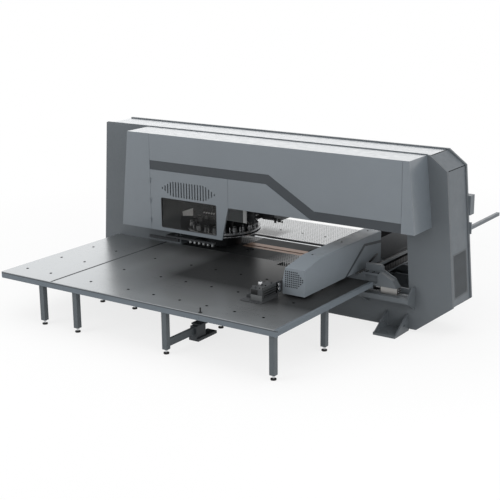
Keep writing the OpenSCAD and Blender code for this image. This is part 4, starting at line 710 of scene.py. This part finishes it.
def paneSeal():
    # rubber seal: a round section carried round the window's edge with rounded corners
    quarter = np.linspace(0, np.pi / 2, pane["steps"])
    c = pane["corner"]
    left, right = pane["left"] + c, pane["right"] - c
    low, high = pane["low"] + c, pane["high"] - c
    arcs = []
    for k, (x, z) in enumerate(((right, high), (left, high), (left, low), (right, low))):
        angle = quarter + k * np.pi / 2
        depth = 0 * quarter + pane["face"]
        arcs.append(np.stack([x + c * np.cos(angle), depth, z + c * np.sin(angle)], -1))
    line = np.concatenate(arcs)
    run = np.roll(line, -1, 0) - np.roll(line, 1, 0)
    run /= np.linalg.norm(run, axis=1, keepdims=True)
    out = np.array([0.0, 1.0, 0.0])
    n = np.cross(run, out)
    a = np.arange(pane["sides"]) * (-2 * np.pi / pane["sides"])
    ring = n[:, None] * np.cos(a)[:, None] + out * np.sin(a)[:, None]
    skin = (line[:, None] + pane["seal"] * ring) * mm
    return np.concatenate([skin, skin[:1]])


raisePiece("paneSeal", paneSeal(), chainPlastic, "door", pane["sharp"])


# Throat

striker = {"plate": ((-452, -256, 1345), (-374, -248, 1570)), "round": 1.5}
setBoxes("strikerPlate", [striker["plate"]], striker["round"], paleSheet, "frame")

# near-white plate behind the door window: painted light, standing in for a lit patch on a wall inside, held
# by a black bracket
litPatch = {"corners": [(-1531, -600, 1488), (-1518, -600, 1412), (-1296, -600, 1440), (-1292, -600, 1582)],
          "thick": 5, "bracket": ((-1420, -596, 1450), (-1396, -377, 1474)), "round": 3}
raisePiece("litPatchPlate", quadPlate(litPatch["corners"], litPatch["thick"]), lampSheet, "frame")
setBoxes("litPatchBracket", [litPatch["bracket"]], litPatch["round"], blackSteel, "frame")

oil = {"bar": ((-1312, -262, 1412), (-1052, -236, 1462)),
       "holder": ((-1120, -238, 1556), (-1080, -120, 1586)),
       "post": ((-1114, -256, 1460), (-1086, -236, 1586)), "round": 3,
       "fittings": (-1290, -1236, -1182, -1128, -1074), "face": (-261,), "level": 1437}
setBoxes("oilBar", [oil["bar"], oil["holder"], oil["post"]], oil["round"], blackSteel, "frame")
oilSpots = grid2(oil["fittings"], oil["face"], oil["level"])
setTurned("oilFittings", fitting, oilSpots, lampSheet, "frame", "-y")

guideBlocks = {"left": ((-40, 112, 1326), (2, 131, 1420)), "middle": ((30, 112, 1350), (96, 131, 1400)),
               "right": ((112, 112, 1344), (138, 131, 1380)), "round": 3}
blockSpans = [guideBlocks[key] for key in ("left", "middle", "right")]
setBoxes("guideBlocks", blockSpans, guideBlocks["round"], blackSteel, "frame")

valves = {"face": -263, "rows": (-140, -110, -80), "low": 1418, "pitch": 73.8, "count": 4}
valveSpots = [(valves["face"], y, valves["low"] + k * valves["pitch"])
              for k in range(valves["count"]) for y in valves["rows"]]
setTurned("valveFittings", fitting, valveSpots, brightSteel, "frame", "+x")


# Turret

turret = {"x": -1048, "top": 1180}


def ringSpots(r, count, height, start):
    # spots round the turret's axis: (x + r cos a, r sin a, h), the first turned by start, a share of a step
    a = (np.arange(count) + start) * 2 * np.pi / count
    return np.stack([turret["x"] + r * np.cos(a), r * np.sin(a), 0 * a + height], -1)


pins = {"ring": 612, "count": 20, "start": 0.5}
pinSpots = ringSpots(pins["ring"], pins["count"], turret["top"], pins["start"])
setTurned("liftPins", liftPin, pinSpots, brightSteel, "upper_disc")

rim = {"radius": 661.6, "inner": 654, "bevel": 1, "sides": 96, "bright": ((1104, 1118), (1164, 1177)),
       "dark": (1120, 1140)}


def ringBand(low, high):
    # flat band round the disc: its section with two bevels turned about the axis and closed on itself
    inner, outer, bevel = rim["inner"], rim["radius"], rim["bevel"]
    section = [(inner, low), (outer - bevel, low), (outer, low + bevel), (outer, high - bevel),
               (outer - bevel, high), (inner, high), (inner, low)]
    return placed(turned(section, rim["sides"]), [(turret["x"], 0, 0)])


raisePiece("rimBands", np.concatenate([ringBand(*z) for z in rim["bright"]]), brightSteel, "upper_disc")
raisePiece("rimGroove", ringBand(*rim["dark"]), mattBlack, "upper_disc")

# two sizes of spring, each as start and radius
coil = {"turns": 3.5, "low": 74, "high": 102, "steps": 57, "wire": 3.4, "sides": 6, "ring": 560,
        "count": 10, "sizes": ((0.0, 37.0), (0.5, 24.0)), "sharp": 80.0}


def springs():
    # coil round each striking head: centre line (r cos 2 pi n t, r sin 2 pi n t, h t), wire as a tube
    t = np.linspace(0, 1, coil["steps"])
    wind = 2 * np.pi * coil["turns"] * t
    height = coil["low"] + (coil["high"] - coil["low"]) * t
    sets = []
    for start, r in coil["sizes"]:
        line = np.stack([r * np.cos(wind), r * np.sin(wind), height], -1)
        spots = ringSpots(coil["ring"], coil["count"], turret["top"], start)
        sets.append(placed(tube(line, coil["wire"], coil["sides"]), spots))
    return np.concatenate(sets)


raisePiece("headSprings", springs(), blackSteel, "upper_disc", coil["sharp"])

hub = {"ring": 120, "count": 8, "top": 1420, "discRing": 250, "discCount": 12, "start": 0.0}
hubSpots = [ringSpots(hub["ring"], hub["count"], hub["top"], hub["start"]),
            ringSpots(hub["discRing"], hub["discCount"], turret["top"], hub["start"])]
setTurned("hubScrews", capScrew, np.concatenate(hubSpots), blackSteel, "upper_disc")


# Saddle

seals = {"cols": ((2437, 2449), (2745, 2757)), "height": (653, 737), "round": 3,
         "rows": {"slideSealsFront": (-543, -437), "slideSealsRear": (437, 543)}}
for name, (near, far) in seals["rows"].items():
    sealSpans = [((left, near, seals["height"][0]), (right, far, seals["height"][1]))
                 for left, right in seals["cols"]]
    setBoxes(name, sealSpans, seals["round"], chainPlastic, "saddle")

slideEnds = {"face": 2757, "rows": (-520, -460, 460, 520), "heights": (675, 715)}
slideSpots = [(slideEnds["face"], y, z) for y in slideEnds["rows"] for z in slideEnds["heights"]]
setTurned("slideScrews", capScrew, slideSpots, brightSteel, "saddle", "+x")

drive = {"y": -490, "z": 706, "rod": 17, "from": 1900, "to": 2437, "steps": 5, "sides": 16, "collar": 2300,
         "nut": ((2196, -536, 656), (2300, -444, 770)), "round": 8}
rodPath = [(x, drive["y"], drive["z"]) for x in np.linspace(drive["from"], drive["to"], drive["steps"])]
raisePiece("driveRod", tube(rodPath, drive["rod"], drive["sides"]), brightSteel, "saddle")
setBoxes("driveNut", [drive["nut"]], drive["round"], platePaint, "saddle")
setTurned("driveCollar", rodCollar, [(drive["collar"], drive["y"], drive["z"])], blackSteel, "saddle", "+x")

lever = {"path": [(1911, 40, 925), (1930, 52, 935), (1944, 90, 955), (1946, 170, 985), (1946, 262, 1012),
                  (1938, 276, 1016)], "radii": [16, 16, 15, 14, 15, 9], "sides": 12, "sharp": 70.0}
leverSkin = tube(lever["path"], lever["radii"], lever["sides"])
raisePiece("beamLever", leverSkin, chainPlastic, "saddle", lever["sharp"])

# black lid on the beam core: painted shade, standing in for the dark between the beam's top edge and the
# housing
coreShadeLid = {"front": 440, "low": 1237, "high": 1242, "inset": 1, "round": 1}
(coreLeft, _, _), (coreRight, coreBack, _) = (np.array(corner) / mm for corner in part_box("beam_core"))
lidSpan = ((coreLeft + coreShadeLid["inset"], coreShadeLid["front"], coreShadeLid["low"]),
           (coreRight - coreShadeLid["inset"], coreBack - coreShadeLid["inset"], coreShadeLid["high"]))
setBoxes("coreShadeLid", [lidSpan], coreShadeLid["round"], mattBlack, "saddle")

wedge = {"cols": (2190, 2300, 2400), "rows": (-548, -500), "top": 940}
setTurned("wedgeScrews", capScrew, grid2(wedge["cols"], wedge["rows"], wedge["top"]), blackSteel, "saddle")

tray = {"bands": (((2334, -405, 840), (2340, 1646, 868)), ((2334, -405, 1016), (2340, 1646, 1061))),
        "bandRound": 1.5, "groove": ((2333, -405, 972), (2337, 1646, 1017)), "grooveRound": 1}
setBoxes("trayBands", tray["bands"], tray["bandRound"], platePaint, "saddle")
setBoxes("trayGroove", [tray["groove"]], tray["grooveRound"], mattBlack, "saddle")

coreSkirt = {"span": ((1874, 566, 808), (1888, 1590, 872)), "round": 1.5}
setBoxes("coreSkirt", [coreSkirt["span"]], coreSkirt["round"], darkCasting, "saddle")

ribs = {"corners": ((2436, 964.6), (2665, 854), (2669, 866), (2442, 979.6)), "fronts": (-571, -435),
        "wide": 26}
ribPlates = [quadPlate([(x, y, z) for x, z in ribs["corners"]], ribs["wide"]) for y in ribs["fronts"]]
raisePiece("wedgeRibs", np.stack(ribPlates), platePaint, "saddle")


# Clamps

clamps = {"fronts": (-2519, -1499), "top": 1018, "capX": 1307, "capBack": 193, "capTop": 1052,
          "screwCols": (1380, 1435), "screwBacks": (60, 222, 384)}
capSpots = [(clamps["capX"], y + clamps["capBack"], clamps["capTop"]) for y in clamps["fronts"]]
setTurned("pressureCaps", pressureCap, capSpots, brightSteel, "clamps")
screwSpots = [(x, y + back, clamps["top"])
              for y in clamps["fronts"] for x in clamps["screwCols"] for back in clamps["screwBacks"]]
setTurned("clampScrews", capScrew, screwSpots, blackSteel, "clamps")

# plates on both clamps' fronts: left, right, low, high
facePlates = {"frontCovers": (1262, 1380, 930, 1008), "frontFaces": (1259, 1462, 838, 922),
              "proud": 5, "sink": 1, "round": 2}
for name, finish in (("frontCovers", blackSteel), ("frontFaces", facePaint)):
    left, right, low, high = facePlates[name]
    faceSpans = [((left, y - facePlates["proud"], low), (right, y + facePlates["sink"], high))
                 for y in clamps["fronts"]]
    setBoxes(name, faceSpans, facePlates["round"], finish, "clamps")

clampSide = {"cover": ((1479, -2494, 884), (1482, -2156, 1016)), "coverRound": 1,
             "ribX": (1480, 1486), "ribY": (-2488, -2160), "ribLows": (896, 934, 972, 1004), "ribHigh": 9,
             "ribRound": 1.5, "gap": ((1478, -2152, 880), (1486, -2128, 1052)), "gapRound": 2}
(ribLeft, ribRight), (ribFront, ribBack) = clampSide["ribX"], clampSide["ribY"]
ribSpans = [((ribLeft, ribFront, z), (ribRight, ribBack, z + clampSide["ribHigh"]))
            for z in clampSide["ribLows"]]
setBoxes("sideCover", [clampSide["cover"]], clampSide["coverRound"], blackSteel, "clamps")
setBoxes("sideRibs", ribSpans, clampSide["ribRound"], clampCasting, "clamps")
setBoxes("sideGap", [clampSide["gap"]], clampSide["gapRound"], mattBlack, "clamps")

cylinders = {"x": 1496, "y": -2090, "heights": (933.5, 999.5)}
cylinderSpots = [(cylinders["x"], cylinders["y"], z) for z in cylinders["heights"]]
setTurned("cylinderCaps", cylinderCap, cylinderSpots, brightSteel, "clamps", "+x")


# Stage, light and camera

stage = {"half": 150.0, "drop": 0.001, "tone": (0.82, 0.82, 0.82, 1.0), "shadowShare": 0.22,
         "shadowNear": 5.0, "shadowFar": 11.0, "fill": 0.7}

# power, width, height, spot, aim, seen in gloss
lamps = {
    "topLight": (430.0, 14.0, 14.0, (0.0, -1.0, 9.0), (0.0, -1.0, 0.0), False),
    "keyLight": (720.0, 8.0, 8.0, (-6.0, -14.0, 7.0), (0.0, -0.5, 1.4), False),
    "sideLight": (335.0, 6.0, 5.0, (11.0, -6.0, 4.0), (2.5, -0.8, 1.2), False),
    "backLight": (585.0, 22.0, 10.0, (-8.5, 13.5, 6.0), (0.0, 0.0, 1.5), True),
}


def whiteToLens(tree):
    # 1 for rays that the lens, a mirror or a pane sees
    path = tree.nodes.new("ShaderNodeLightPath")
    seen = calc(tree, "MAXIMUM", path.outputs["Is Camera Ray"], path.outputs["Is Glossy Ray"])
    return calc(tree, "MAXIMUM", seen, path.outputs["Is Transmission Ray"])


def layFloor():
    half, level = stage["half"], -stage["drop"]
    mesh = bpy.data.meshes.new("floor")
    corners = [(-half, -half, level), (half, -half, level), (half, half, level), (-half, half, level)]
    mesh.from_pydata(corners, [], [(0, 1, 2, 3)])
    floor = bpy.data.objects.new("floor", mesh)
    bpy.context.scene.collection.objects.link(floor)
    mat = bpy.data.materials.new("paleFloor")
    mat.use_nodes = True
    tree = mat.node_tree
    tree.nodes.clear()
    out = tree.nodes.new("ShaderNodeOutputMaterial")
    matte = tree.nodes.new("ShaderNodeBsdfDiffuse")
    matte.inputs["Color"].default_value = stage["tone"]
    glow = tree.nodes.new("ShaderNodeEmission")
    mix = tree.nodes.new("ShaderNodeMixShader")
    reach = tree.nodes.new("ShaderNodeVectorMath")
    reach.operation = "LENGTH"
    tree.links.new(tree.nodes.new("ShaderNodeTexCoord").outputs["Object"], reach.inputs[0])
    # the floor's own shade counts near the machine and fades out round it
    white = spread(tree, reach.outputs["Value"], 1.0 - stage["shadowShare"], 1.0,
                   stage["shadowNear"], stage["shadowFar"])
    tree.links.new(times(tree, whiteToLens(tree), white), mix.inputs[0])
    tree.links.new(matte.outputs[0], mix.inputs[1])
    tree.links.new(glow.outputs[0], mix.inputs[2])
    tree.links.new(mix.outputs[0], out.inputs[0])
    mesh.materials.append(mat)


def hangLights():
    # the sky is white to the lens and at the fill's strength to everything else
    world = bpy.data.worlds.new("studio")
    bpy.context.scene.world = world
    world.use_nodes = True
    tree = world.node_tree
    sky = tree.nodes["Background"]
    sky.inputs["Color"].default_value = (1.0, 1.0, 1.0, 1.0)
    extra = times(tree, whiteToLens(tree), 1.0 - stage["fill"])
    tree.links.new(calc(tree, "ADD", extra, stage["fill"]), sky.inputs["Strength"])
    for name, (power, width, height, spot, aim, glossy) in lamps.items():
        lamp = bpy.data.lights.new(name, "AREA")
        lamp.shape = "RECTANGLE"
        lamp.energy, lamp.size, lamp.size_y = power, width, height
        holder = bpy.data.objects.new(name, lamp)
        bpy.context.scene.collection.objects.link(holder)
        holder.location = spot
        holder.rotation_euler = (Vector(aim) - Vector(spot)).to_track_quat("-Z", "Y").to_euler()
        holder.visible_glossy = glossy
        holder.visible_camera = False


lens = {"spot": (10.4614, -15.8974, 6.0397), "turn": 34.55, "rise": 15.2186, "roll": -0.5503,
        "focalPixels": 1112.65, "imagePixels": 500, "sensor": 36.0, "reach": 200.0}


def setCamera():
    turn, rise, roll = (math.radians(lens[key]) for key in ("turn", "rise", "roll"))
    back = Vector((math.sin(turn) * math.cos(rise), -math.cos(turn) * math.cos(rise), math.sin(rise)))
    right = Vector((math.cos(turn), math.sin(turn), 0.0))
    up = back.cross(right)
    tiltedRight = right * math.cos(roll) + up * math.sin(roll)
    tiltedUp = up * math.cos(roll) - right * math.sin(roll)
    eye = bpy.data.cameras.new("photoCamera")
    eye.sensor_width = lens["sensor"]
    eye.lens = lens["focalPixels"] / lens["imagePixels"] * lens["sensor"]
    eye.clip_end = lens["reach"]
    holder = bpy.data.objects.new("photoCamera", eye)
    bpy.context.scene.collection.objects.link(holder)
    axes = Matrix((tiltedRight, tiltedUp, back)).transposed().to_4x4()
    holder.matrix_world = Matrix.Translation(lens["spot"]) @ axes
    bpy.context.scene.camera = holder


layFloor()
hangLights()
setCamera()
bpy.context.scene.view_settings.view_transform = "Standard"
print("stage set")
